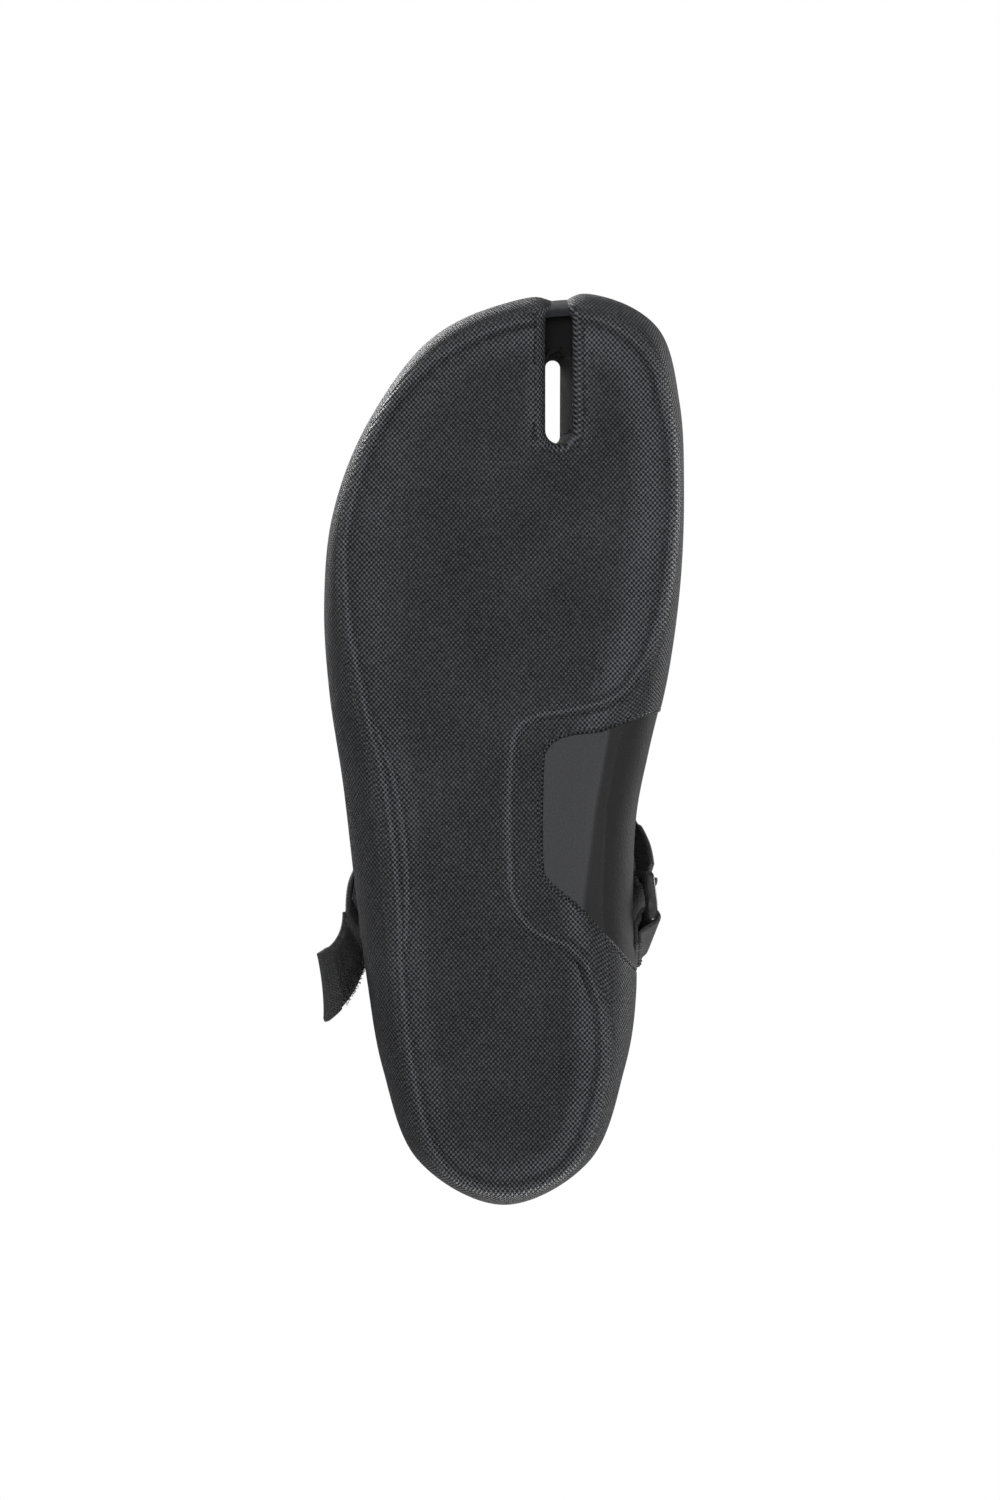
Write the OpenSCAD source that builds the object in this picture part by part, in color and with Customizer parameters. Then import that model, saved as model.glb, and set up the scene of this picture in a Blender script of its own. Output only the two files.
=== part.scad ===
// Right-foot split-toe neoprene reef boot with an instep strap.
// Millimetres. +Z up, tread on Z = 0, toe towards -Y, big-toe side towards +X.
// The outer skin is one surface skin(u, t). u runs once round the boot: 0 at the
// back of the heel, 0.25 on the little-toe side, 0.5 at the toe, 0.75 at the arch.
// t is -1 at the bead round the tread, 0 at the widest line and 1 at the cuff rim.
// Every layer is a patch of that surface between two depths below it.

/* [Boot] */
// Overall length, toe to heel
boot_length = 285; // [240:1:310]
// Overall width at the ball of the foot
boot_width = 112; // [98:1:120]
// Height of the cuff rim at the back of the ankle
shaft_height = 130; // [115:1:150]

/* [Layers] */
// Thickness of the moulded rubber outsole and rand
rubber = 2; // [1.6:0.1:2.2]
// Thickness of the neoprene panels
neoprene = 3; // [2.5:0.1:3.2]
// Thickness of the removable insole
insole_t = 3.5; // [2.5:0.5:4.5]
// Clearance between neighbouring layers and panels
gap = 0.35; // [0.25:0.05:0.4]

/* [Toe slot] */
// Width of the split between the big toe and the others
slot_w = 8.4; // [7:0.2:9.4]
// Distance of the slot's middle from the centre line
slot_x = 17; // [15:0.5:19]

/* [Strap] */
// Width of the instep strap
strap_w = 25; // [20:1:28]
// Thickness of one strap layer
strap_t = 1.5; // [1.2:0.1:1.6]
// Thickness of the hook and loop patches
patch_t = 0.8; // [0.6:0.1:0.9]
// Free length of the strap's tail
tail_len = 29; // [24:1:34]

/* [Ring] */
// Radius of the ring's two long bars
bar_r = 2; // [1.8:0.1:2.2]
// Distance between the middles of the two long bars
bar_pitch = 13; // [12:0.5:14]

/* [Pull tab] */
// Width of the heel pull loop's webbing
tab_w = 18; // [14:1:22]
// Height of the heel pull loop
tab_h = 46; // [40:1:50]

/* [Hidden] */
kx = boot_width / 112;
ky = boot_length / 285;
kz = shaft_height / 130;
stations = 24;
$fn = 48;

// Edge of the flat tread, station by station from the heel round the little-toe side
tread_edge = [[0, 136], [-20, 126.5], [-28, 100], [-31.5, 72], [-33, 42], [-37, 11],
    [-44, -18], [-48.8, -46], [-48, -72], [-38, -101], [-22, -120], [0, -131],
    [25, -134], [43, -124], [49.5, -106], [52.5, -82], [50, -52], [43, -26],
    [31, -4], [25.5, 16], [25, 40], [29, 72], [30.5, 98], [21, 127]];
// Widest line of the boot at the same stations
wide_edge = [[0, 142.5], [-27, 128.5], [-38, 100], [-43, 72], [-46.8, 42], [-50.4, 11],
    [-54.7, -18], [-56.3, -46], [-53.5, -74], [-43, -101.5], [-24, -127.5], [0, -139.5],
    [27, -142.5], [48, -132], [55, -108], [56.3, -80], [55.2, -52], [51.5, -24],
    [46, 0], [42, 21], [41, 47], [41.5, 76], [37.8, 100], [27, 128.5]];
// Cuff rim: an ellipse
cuff_rx = 34 * kx;
cuff_ry = 43 * ky;
cuff_y = 77 * ky;
// Rise from the widest line to the rim: [share of the way in, height]
rise_toe = [[0, 15], [0.03, 23], [0.12, 29], [0.3, 37], [0.5, 48], [0.68, 62],
    [0.84, 84], [0.95, 108], [1, 127]];
rise_side = [[0, 16], [0.06, 28], [0.18, 39], [0.34, 50], [0.52, 62], [0.7, 76],
    [0.86, 92], [0.96, 111], [1, 129]];
rise_heel = [[0, 20], [0.02, 34], [0.1, 48], [0.35, 62], [0.75, 76], [1.05, 90],
    [1.15, 104], [1.08, 118], [1, 130]];

upper_out = rubber + gap;
upper_in = upper_out + neoprene;
seam_u = 0.0006;
seam_t = 0.004;
floor_z = upper_in + gap;
// The upper's inner face leans in over the tread's edge, so the plates inside are smaller
sock_inset = 3.2;
insole_inset = 2.9;

// Room above the upper for the patches sewn under the strap's two ends
patch_rise = 1.35;
// Middle of the strap across the instep: [u, t] from the sewn end to the ring
strap_route = [[0.153, 0.213], [0.189, 0.337], [0.262, 0.5], [0.344, 0.645], [0.41, 0.709], [0.475, 0.728],
    [0.54, 0.715], [0.616, 0.653], [0.697, 0.515], [0.784, 0.328], [0.827, 0.185]];
patch_out = upper_out - patch_rise;
base_out = patch_out - gap - strap_t;
loop_out = base_out - gap - patch_t;
hook_out = loop_out - gap - patch_t;
flap_out = hook_out - gap - strap_t;
// Direction of the tail away from the boot, and across its width
tail_dir = unit([-18, 12, -20]);
tail_across = unit([0.06, 0.85, 0.46]);
hem_len = 6;
// Room for the tail to fold without meeting the flap's end
tail_gap = 1.8;
ring_out = base_out - gap - bar_r;
wrap_r = bar_r + gap;
// How far the sides are drawn in half way up the foot
waist = 0.2;

function unit(v) = v / norm(v);
function spline(a, b, c, d, x) = 0.5 * (2 * b + (c - a) * x + (2 * a - 5 * b + 4 * c - d) * x * x
    + (3 * b - a - 3 * c + d) * x * x * x);
function round_trip(list, u) = let (n = len(list), x = (u - floor(u)) * n, i = floor(x))
    spline(list[(i + n - 1) % n], list[i % n], list[(i + 1) % n], list[(i + 2) % n], x - i);
function along(list, w) = let (n = len(list) - 1, x = w * n, i = max(0, min(n - 1, floor(x))),
    b = list[i], c = list[i + 1], a = i > 0 ? list[i - 1] : 2 * b - c,
    d = i < n - 1 ? list[i + 2] : 2 * c - b) spline(a, b, c, d, x - i);
function tread_at(u) = let (p = round_trip(tread_edge, u)) [p.x * kx, p.y * ky];
function wide_at(u) = let (p = round_trip(wide_edge, u)) [p.x * kx, p.y * ky];
function rim_at(u) = [-cuff_rx * sin(360 * u), cuff_y + cuff_ry * cos(360 * u)];
function rise_at(u, t) = let (q = (1 - cos(360 * u)) / 2) (1 - q) * (1 - q) * along(rise_heel, t)
    + 2 * q * (1 - q) * along(rise_side, t) + q * q * along(rise_toe, t);

// The outer skin
function skin(u, t) = t < 0
    ? let (a = 90 * (t + 1), p = tread_at(u) * (1 - sin(a)) + wide_at(u) * sin(a))
        [p.x, p.y, rise_at(u, 0).y * kz * (1 - cos(a))]
    : let (r = rise_at(u, t), f = max(0, min(1, r.x)), p = wide_at(u) * (1 - r.x) + rim_at(u) * r.x)
        [p.x * (1 - 16 * waist * f * f * (1 - f) * (1 - f)), p.y, r.y * kz];
function skin_u(u, t) = (skin(u + 0.002, t) - skin(u - 0.002, t)) / 0.004;
function skin_t(u, t) = let (a = t < -0.99 ? 0 : 0.01) (skin(u, t + 0.01) - skin(u, t - a)) / (0.01 + a);
function outward(u, t) = unit(cross(skin_u(u, t), skin_t(u, t)));
// A point at a depth below the skin
function below(u, t, depth) = skin(u, t) - depth * outward(u, t);

// A closed sheet between two grids of points, outer and inner.
// wrap joins the last column to the first, and floored closes the first row across.
module sheet(outer, inner, wrap = false, floored = false) {
    nu = len(outer);
    nt = len(outer[0]);
    size = nu * nt;
    columns = wrap ? nu - 1 : nu - 2;
    points = concat([for (c = outer, p = c) p], [for (c = inner, p = c) p]);
    function at(i, j) = (i % nu) * nt + j;
    function quad(a, b, c, d) = [[a, b, c], [a, c, d]];
    skins = [for (i = [0 : columns], j = [0 : nt - 2]) each concat(
        quad(at(i, j), at(i, j + 1), at(i + 1, j + 1), at(i + 1, j)),
        quad(size + at(i, j), size + at(i + 1, j), size + at(i + 1, j + 1), size + at(i, j + 1)))];
    top = [for (i = [0 : columns]) each
        quad(at(i, nt - 1), size + at(i, nt - 1), size + at(i + 1, nt - 1), at(i + 1, nt - 1))];
    bottom = floored
        ? [[for (i = [0 : nu - 1]) at(i, 0)], [for (i = [nu - 1 : -1 : 0]) size + at(i, 0)]]
        : [for (i = [0 : columns]) each quad(at(i, 0), at(i + 1, 0), size + at(i + 1, 0), size + at(i, 0))];
    ends = wrap ? [] : [for (j = [0 : nt - 2]) each concat(
        quad(at(0, j), size + at(0, j), size + at(0, j + 1), at(0, j + 1)),
        quad(at(nu - 1, j), at(nu - 1, j + 1), size + at(nu - 1, j + 1), size + at(nu - 1, j)))];
    polyhedron(points, concat(skins, top, bottom, ends));
}

// A patch of the skin between two depths, from low(u) to high(u)
module patch(u0, u1, nu, low, high, nt, d_out, d_in, wrap = false, floored = false) {
    last = wrap ? nu - 1 : nu;
    function grid(depth) = [for (i = [0 : last]) let (u = u0 + (u1 - u0) * i / nu, a = low(u), b = high(u))
        [for (j = [0 : nt]) below(u, a + (b - a) * j / nt, depth)]];
    sheet(grid(d_out), grid(d_in), wrap, floored);
}

// A flat plate inside the tread's edge
module plate(inset, z0, z1) {
    ring = [for (i = [0 : 95])
        let (u = i / 96, q = tread_at(u + 0.004) - tread_at(u - 0.004))
        tread_at(u) + inset * [-q.y, q.x] / norm(q)];
    translate([0, 0, z0]) linear_extrude(z1 - z0) polygon(ring);
}

// The split between the toes, as a solid to cut with
module slot(width, front, back, z0, z1) {
    x = slot_x * kx;
    translate([0, 0, z0]) linear_extrude(z1 - z0) {
        translate([x - width / 2, front + width / 2]) square([width, back - front - width]);
        translate([x, front + width / 2]) circle(width / 2);
        translate([x, back - width / 2]) circle(width / 2);
    }
}

// The gap in the outsole under the arch, drawn in by g, as a solid to cut with
module arch_opening(g) {
    edge = [[75, -24 + g], [47, -12.5 + g], [30, -6.5 + g], [19, -5 + g], [13 + g, -1 + g], [11.5 + g, 6],
        [11.3 + g, 34], [13.5 + g, 41 - g], [24, 50 - g], [41, 69 - g], [75, 100 - g]];
    translate([0, 0, -1]) linear_extrude(60) polygon([for (p = edge) [p.x * kx, p.y * ky]]);
}

function bump(u, middle, half) = let (d = abs(u - middle)) d < half ? (1 + cos(180 * d / half)) / 2 : 0;
// Edges of the panels, each as t for any u
feather = function(u) -1;
// Top of the rubber rand: low at the sides, higher at the toe and the heel
rand_top = function(u) 0.03 + 0.1 * bump(u, 0.5, 0.13) + 0.1 * bump(u > 0.5 ? 1 - u : u, 0, 0.13);
arch_top = function(u) 0.05;
vamp_top = function(u) 0.48;
above_vamp = function(u) 0.48 + seam_t;
quarter_top = function(u) 0.78;
cuff_low = function(u) 0.78 + seam_t;
cuff_top = function(u) 0.97;
rim_low = function(u) 0.97 + seam_t;
rim_top = function(u) 1;

// resize([0, 0, 0]) changes no size: it makes each cut sheet below one plain solid
module outsole() {
    color("#1d1e20") resize([0, 0, 0]) difference() {
        patch(0, 1, 96, feather, rand_top, 11, 0, rubber, wrap = true, floored = true);
        arch_opening(0);
        slot(slot_w, -138 * ky, -95 * ky, -1, 8.5);
    }
}
module arch_panel() {
    color("#45464a") resize([0, 0, 0]) intersection() {
        patch(0, 1, 96, feather, arch_top, 11, 0.2, rubber, wrap = true, floored = true);
        arch_opening(gap);
    }
}
module bottom_sock() {
    color("#26272a") difference() {
        plate(sock_inset, upper_out, upper_in);
        slot(slot_w + 2 * gap, -145 * ky, -95 * ky + gap, 0, 20);
    }
}
module insole() {
    color("#2f3136") difference() {
        plate(insole_inset, floor_z, floor_z + insole_t);
        slot(slot_w + 6, -145 * ky, -92 * ky, 0, 20);
    }
}

// The strap's own grid: s runs from the sewn end to the ring, c across the width in mm
function route_at(s) = along(strap_route, s);
function route_dir(s) = let (a = route_at(s + 0.01), b = route_at(s - 0.01))
    unit(skin(a.x, a.y) - skin(b.x, b.y));
function strap_uv(s, c) = let (q = route_at(s), a = skin_u(q.x, q.y), b = skin_t(q.x, q.y),
    across = cross(unit(cross(a, b)), route_dir(s)) * c, aa = a * a, ab = a * b, bb = b * b,
    det = aa * bb - ab * ab)
    q + [(a * across) * bb - (b * across) * ab, (b * across) * aa - (a * across) * ab] / det;
function strap_at(s, c, depth) = let (q = strap_uv(s, c)) below(q.x, q.y, depth);
module strap_layer(s0, s1, ns, half, d_out, d_in) {
    function grid(depth) = [for (i = [0 : ns]) let (s = s0 + (s1 - s0) * i / ns)
        [for (j = [-2 : 2]) strap_at(s, half * j / 2, depth)]];
    sheet(grid(d_out), grid(d_in));
}

module vamp() {
    color("#202124") resize([0, 0, 0]) difference() {
        patch(0.31 + seam_u, 0.69 - seam_u, 36, feather, vamp_top, 18, upper_out, upper_in);
        slot(slot_w - 1, -125 * ky, -96 * ky, -1, 60);
        slot(slot_w + 2 * gap, -145 * ky, -95 * ky, 0, 10);
    }
}
module instep_panel() {
    color("#2a2b2f") patch(0.40 + seam_u, 0.60 - seam_u, 20, above_vamp, quarter_top, 8, upper_out, upper_in);
}
// The quarters sweep forward above the vamp as far as the instep panel
module lateral_quarter() {
    color("#222327") {
        patch(0.06 + seam_u, 0.31 - seam_u, 24, feather, quarter_top, 16, upper_out, upper_in);
        patch(0.31 - seam_u, 0.40 - seam_u, 9, above_vamp, quarter_top, 8, upper_out, upper_in);
    }
}
module medial_quarter() {
    color("#222327") {
        patch(0.69 + seam_u, 0.94 - seam_u, 24, feather, quarter_top, 16, upper_out, upper_in);
        patch(0.60 + seam_u, 0.69 + seam_u, 9, above_vamp, quarter_top, 8, upper_out, upper_in);
    }
}
module heel_panel() {
    color("#1f2023") patch(-0.06 + seam_u, 0.06 - seam_u, 12, feather, quarter_top, 16, upper_out, upper_in);
}
module cuff() {
    color("#26272b") patch(0, 1, 64, cuff_low, cuff_top, 4, upper_out, upper_in, wrap = true);
}
module cuff_binding() {
    color("#151618") patch(0, 1, 64, rim_low, rim_top, 2, upper_out - 0.6, upper_in + 0.6, wrap = true);
}
// Thin tape glued over the inside of a butt seam at one u
module seam_tape(u, low, high) {
    color("#34353a") patch(u - 0.008, u + 0.008, 2, low, high, 16,
        upper_in + 2 * gap, upper_in + 2 * gap + 0.5);
}
tape_low = function(u) -0.2;
tape_high = function(u) 0.76;
front_tape_high = function(u) 0.46;
module lateral_seam_tape() {
    seam_tape(0.31, tape_low, front_tape_high);
}
module medial_seam_tape() {
    seam_tape(0.69, tape_low, front_tape_high);
}
module heel_seam_tape_left() {
    seam_tape(0.06, tape_low, tape_high);
}
module heel_seam_tape_right() {
    seam_tape(-0.06, tape_low, tape_high);
}

// Lining of the slot between the toes: a closed tube with a sloping top
module toe_gusset() {
    wall = 1.4;
    front = -124 * ky;
    back = -97 * ky;
    inner = slot_w - 1 - 2 * gap - 2 * wall;
    color("#17181a") difference() {
        slot(slot_w - 1 - 2 * gap, front, back, 2.4, 40);
        slot(inner, front + wall, back - wall, -1, 60);
        translate([0, front - 5, gusset_top]) rotate([gusset_slope, 0, 0]) cube([80, 80, 60]);
    }
}
gusset_top = 24.5 * kz;
gusset_slope = 15;
// Rubber web that joins the two toe lobes in front of the slot
module toe_bridge() {
    x = slot_x * kx;
    w = slot_w - 2 * gap;
    color("#1d1e20") translate([x - w / 2, -134.5 * ky, 9]) cube([w, 6, 3]);
}

// Reinforcing patches sewn on the quarters under the strap's two ends
module strap_patch() {
    color("#1b1c1e") strap_layer(-0.01, 0.16, 12, strap_w / 2 + 1.5, patch_out, patch_out + patch_t - 0.2);
}
module anchor_patch() {
    color("#1b1c1e") patch(0.825, 0.885, 10, function(u) 0.075, function(u) 0.22, 6,
        patch_out + 0.45, patch_out + patch_t + 0.2);
}
module strap_base() {
    color("#232427") strap_layer(-0.03, 0.975, 48, strap_w / 2, base_out, base_out + strap_t);
}
module loop_patch() {
    color("#303136") strap_layer(0.02, 0.45, 22, strap_w / 2 - 1, loop_out, loop_out + patch_t);
}
module hook_patch() {
    color("#101113") strap_layer(0.02, 0.30, 15, strap_w / 2 - 1, hook_out, hook_out + patch_t);
}

// Frame at the ring: x across the strap, y along it, z away from the boot
ring_q = route_at(1);
ring_n = outward(ring_q.x, ring_q.y);
ring_x = unit(cross(route_dir(1), ring_n));
ring_y = cross(ring_n, ring_x);
ring_o = skin(ring_q.x, ring_q.y) - ring_n * ring_out;
module at_ring() {
    multmatrix([[ring_x.x, ring_y.x, ring_n.x, ring_o.x], [ring_x.y, ring_y.y, ring_n.y, ring_o.y],
        [ring_x.z, ring_y.z, ring_n.z, ring_o.z]]) children();
}
function in_ring(x, y, z) = ring_o + x * ring_x + y * ring_y + z * ring_n;
function arc(x, radius, a) = in_ring(x, radius * sin(a), radius * cos(a));

// Rectangular moulded loop: two long bars, two short ones, ball corners
module ring() {
    half = strap_w / 2 + bar_r + 1.2;
    color("#0e0f10") at_ring() {
        for (y = [0, bar_pitch])
            translate([-half, y, 0]) rotate([0, 90, 0]) cylinder(h = 2 * half, r = bar_r);
        for (x = [-half, half])
            translate([x, 0, 0]) rotate([-90, 0, 0]) cylinder(h = bar_pitch, r = bar_r);
        for (x = [-half, half], y = [0, bar_pitch])
            translate([x, y, 0]) sphere(bar_r);
    }
}
// Webbing tab that holds the ring's lower bar to the boot
module ring_anchor() {
    outer = wrap_r + strap_t;
    color("#1f2023") at_ring() translate([-strap_w / 2 + 1, bar_pitch, 0]) rotate([90, 0, 90])
        linear_extrude(strap_w - 2) difference() {
            union() {
                circle(outer);
                translate([0, gap / 2 - outer]) square([outer + 6, 2 * strap_t - gap]);
            }
            circle(wrap_r);
        }
}
// Upper layer of the strap. Its return part lies between the ring's upper bar and the top of the
// instep, and its flap part peels up from there
peel_s = 0.475;
slit_s = 0.0015;
function flap_depth(s) = flap_out + (ring_out - wrap_r - strap_t - flap_out) * bump(min(s, 0.94), 0.94, 0.26);
function flap_row(s, lift) = [for (j = [-2 : 2]) strap_at(s, strap_w * j / 4, flap_depth(s) + lift)];
module strap_return() {
    turn = 12;
    rows = 25;
    first = peel_s + slit_s;
    last = 0.958;
    function s_at(i) = first + (last - first) * i / rows;
    function turn_row(a, radius) = [for (j = [-2 : 2]) arc(-strap_w * j / 4, radius, a)];
    function grid(lift, radius) = concat([for (i = [0 : rows]) flap_row(s_at(i), lift)],
        [for (a = [0, turn]) turn_row(a, radius)]);
    color("#26272b") sheet(grid(0, wrap_r + strap_t), grid(strap_t, wrap_r));
}
module strap_flap() {
    rows = 24;
    last = peel_s - slit_s;
    function grid(lift) = [for (i = [0 : rows]) flap_row(last * i / rows, lift)];
    color("#26272b") sheet(grid(0), grid(strap_t));
}
// Free end of the strap, which stands away from the side of the boot
tail_o = strap_at(0, 0, flap_out + strap_t / 2);
root_across = unit(strap_at(0, 1, flap_out) - strap_at(0, -1, flap_out));
function tail_at(d, c, h) = let (f = d / tail_len, a = unit(tail_dir * f - route_dir(0) * (1 - f)),
    w = unit(root_across * (1 - f) + tail_across * f),
    middle = tail_len * (tail_dir * f * f / 2 - route_dir(0) * (f - f * f / 2)))
    tail_o + middle + w * c + unit(cross(w, a)) * h;
module tail_piece(d0, d1, steps, half, thick) {
    function grid(h) = [for (i = [0 : steps]) [for (j = [-2 : 2])
        tail_at(d0 + (d1 - d0) * i / steps, -half * j / 2, h)]];
    sheet(grid(thick / 2), grid(-thick / 2));
}
module strap_tail() {
    color("#26272b") tail_piece(tail_gap, tail_len - hem_len, 10, strap_w / 2, strap_t);
}
module tail_hem() {
    color("#1a1b1d") tail_piece(tail_len - hem_len + gap, tail_len, 3, strap_w / 2, strap_t + 1);
}
// Webbing loop at the back of the heel
module pull_tab() {
    outer = 5.5;
    inner = 4.1;
    module outline(radius, rise) {
        translate([-radius, 0]) square([2 * radius, rise]);
        translate([0, rise]) circle(radius);
        circle(radius);
    }
    rise = tab_h - 2 * outer;
    color("#1c1d1f") translate([-tab_w / 2, tab_y, tab_z]) rotate([90, 0, 90])
        linear_extrude(tab_w) difference() {
        outline(outer, rise);
        outline(inner, rise);
    }
}
tab_y = cuff_y + cuff_ry + 5.6;
tab_z = 112 * kz;

outsole();
arch_panel();
bottom_sock();
insole();
toe_gusset();
toe_bridge();
vamp();
instep_panel();
lateral_quarter();
medial_quarter();
heel_panel();
cuff();
cuff_binding();
lateral_seam_tape();
medial_seam_tape();
heel_seam_tape_left();
heel_seam_tape_right();
pull_tab();
strap_patch();
strap_base();
loop_patch();
strap_return();
strap_flap();
hook_patch();
strap_tail();
tail_hem();
ring();
ring_anchor();
anchor_patch();
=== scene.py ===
"""The looks of a right-foot split-toe neoprene reef boot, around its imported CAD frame.

Metres, +Z up, toe towards -Y, big-toe side towards +X, as in the CAD. Outlines are in
millimetres and are scaled once. The outer skin is one surface skin(u, t), as in the CAD:
u runs once round the boot from the back of the heel by way of the little-toe side, and
t is -1 at the bead round the tread, 0 at the widest line and 1 at the cuff rim.
"""

import math

import bmesh
import bpy
import numpy as np
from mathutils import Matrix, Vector
from mathutils.bvhtree import BVHTree


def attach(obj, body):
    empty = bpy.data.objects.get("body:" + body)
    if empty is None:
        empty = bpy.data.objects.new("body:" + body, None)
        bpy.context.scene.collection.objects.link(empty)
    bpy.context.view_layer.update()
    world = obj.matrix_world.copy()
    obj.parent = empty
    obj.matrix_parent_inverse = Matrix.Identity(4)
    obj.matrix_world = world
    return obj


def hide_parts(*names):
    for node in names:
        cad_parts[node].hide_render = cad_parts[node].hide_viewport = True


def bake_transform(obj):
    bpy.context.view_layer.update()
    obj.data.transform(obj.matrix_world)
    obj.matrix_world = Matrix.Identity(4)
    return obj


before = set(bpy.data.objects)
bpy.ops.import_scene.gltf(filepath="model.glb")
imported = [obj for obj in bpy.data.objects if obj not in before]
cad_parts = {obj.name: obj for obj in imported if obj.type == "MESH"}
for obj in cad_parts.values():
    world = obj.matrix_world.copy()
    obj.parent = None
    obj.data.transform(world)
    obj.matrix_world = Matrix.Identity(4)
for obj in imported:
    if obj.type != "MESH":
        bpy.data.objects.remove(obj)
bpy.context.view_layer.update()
MM = 0.001

# ---------------------------------------------------------------- the boot's surface
TREAD_EDGE = np.array([
    (0, 136), (-20, 126.5), (-28, 100), (-31.5, 72), (-33, 42), (-37, 11),
    (-44, -18), (-48.8, -46), (-48, -72), (-38, -101), (-22, -120), (0, -131),
    (25, -134), (43, -124), (49.5, -106), (52.5, -82), (50, -52), (43, -26),
    (31, -4), (25.5, 16), (25, 40), (29, 72), (30.5, 98), (21, 127)], float)
WIDE_EDGE = np.array([
    (0, 142.5), (-27, 128.5), (-38, 100), (-43, 72), (-46.8, 42), (-50.4, 11),
    (-54.7, -18), (-56.3, -46), (-53.5, -74), (-43, -101.5), (-24, -127.5), (0, -139.5),
    (27, -142.5), (48, -132), (55, -108), (56.3, -80), (55.2, -52), (51.5, -24),
    (46, 0), (42, 21), (41, 47), (41.5, 76), (37.8, 100), (27, 128.5)], float)
RISE_TOE = np.array([(0, 15), (0.03, 23), (0.12, 29), (0.3, 37), (0.5, 48), (0.68, 62),
                     (0.84, 84), (0.95, 108), (1, 127)], float)
RISE_SIDE = np.array([(0, 16), (0.06, 28), (0.18, 39), (0.34, 50), (0.52, 62), (0.7, 76),
                      (0.86, 92), (0.96, 111), (1, 129)], float)
RISE_HEEL = np.array([(0, 20), (0.02, 34), (0.1, 48), (0.35, 62), (0.75, 76), (1.05, 90),
                      (1.15, 104), (1.08, 118), (1, 130)], float)
CUFF_RX, CUFF_RY, CUFF_Y = 34, 43, 77
WAIST = 0.2
RUBBER = 2.0
GAP = 0.35
UPPER_OUT = RUBBER + GAP
NEOPRENE = 3.0
UPPER_IN = UPPER_OUT + NEOPRENE
TREAD_LIFT = 0.6


def spline(a, b, c, d, x):
    x = x[..., None]
    return 0.5 * (2 * b + (c - a) * x + (2 * a - 5 * b + 4 * c - d) * x**2 + (3 * b - a - 3 * c + d) * x**3)


def round_trip(points, u):
    n = len(points)
    x = (u - np.floor(u)) * n
    i = np.floor(x).astype(int)
    return spline(points[(i + n - 1) % n], points[i % n], points[(i + 1) % n], points[(i + 2) % n], x - i)


def along(points, w):
    n = len(points) - 1
    x = w * n
    i = np.clip(np.floor(x).astype(int), 0, n - 1)
    ext = np.vstack([2 * points[0] - points[1], points, 2 * points[-1] - points[-2]])
    return spline(ext[i], ext[i + 1], ext[i + 2], ext[i + 3], x - i)


def skin(u, t):
    """Points of the outer skin, in millimetres."""
    u, t = np.broadcast_arrays(np.asarray(u, float), np.asarray(t, float))
    q = (1 - np.cos(2 * np.pi * u)) / 2
    w = np.maximum(t, 0)
    rise = ((1 - q) ** 2)[..., None] * along(RISE_HEEL, w) + (q * q)[..., None] * along(RISE_TOE, w)
    rise = rise + (2 * q * (1 - q))[..., None] * along(RISE_SIDE, w)
    wide = round_trip(WIDE_EDGE, u)
    tread = round_trip(TREAD_EDGE, u)
    rim = np.stack([-CUFF_RX * np.sin(2 * np.pi * u), CUFF_Y + CUFF_RY * np.cos(2 * np.pi * u)], -1)
    flat = wide * (1 - rise[..., :1]) + rim * rise[..., :1]
    f = np.clip(rise[..., 0], 0, 1)
    x = flat[..., 0] * (1 - 16 * WAIST * f * f * (1 - f) ** 2)
    upper = np.stack([x, flat[..., 1], rise[..., 1]], -1)
    a = np.clip(t + 1, 0, 1) * np.pi / 2
    s = np.sin(a)[..., None]
    lower = np.concatenate([tread * (1 - s) + wide * s, (rise[..., 1] * (1 - np.cos(a)))[..., None]], -1)
    return np.where((t < 0)[..., None], lower, upper)


def unit(v):
    return v / np.maximum(np.linalg.norm(v, axis=-1, keepdims=True), 1e-12)


def outward(u, t):
    u, t = np.broadcast_arrays(np.asarray(u, float), np.asarray(t, float))
    du = skin(u + 0.002, t) - skin(u - 0.002, t)
    low = np.where(t < -0.99, t, t - 0.01)
    dt = skin(u, t + 0.01) - skin(u, low)
    return unit(np.cross(du, dt))


def below(u, t, depth):
    return skin(u, t) - np.asarray(depth)[..., None] * outward(u, t)


def smooth(x):
    x = np.clip(x, 0, 1)
    return x * x * (3 - 2 * x)


def bump(x, middle, half):
    d = np.abs(x - middle)
    return np.where(d < half, (1 + np.cos(np.pi * d / half)) / 2, 0)


def run_along(points):
    """The distance along a path, at each of its points."""
    return np.concatenate([[0], np.cumsum(np.linalg.norm(np.diff(points, axis=0), axis=1))])


def fill_in(path, step):
    """A closed path with points added where they are more than about a step apart."""
    out = []
    for a, b in zip(path, np.roll(path, -1, 0)):
        count = max(1, int(np.linalg.norm(b - a) / step))
        out += [a + (b - a) * k / count for k in range(count)]
    return np.array(out)


def curve_through(points, step=1.0):
    """A smooth path through points, with a point each step millimetres."""
    p = np.asarray(points, float)
    p = np.vstack([2 * p[0] - p[1], p, 2 * p[-1] - p[-2]])
    out = []
    for i in range(1, len(p) - 2):
        count = max(2, int(np.ceil(np.linalg.norm(p[i + 1] - p[i]) / step)))
        out.append(spline(p[i - 1], p[i], p[i + 1], p[i + 2], np.arange(count) / count))
    return np.concatenate(out + [p[-2][None]])


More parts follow.
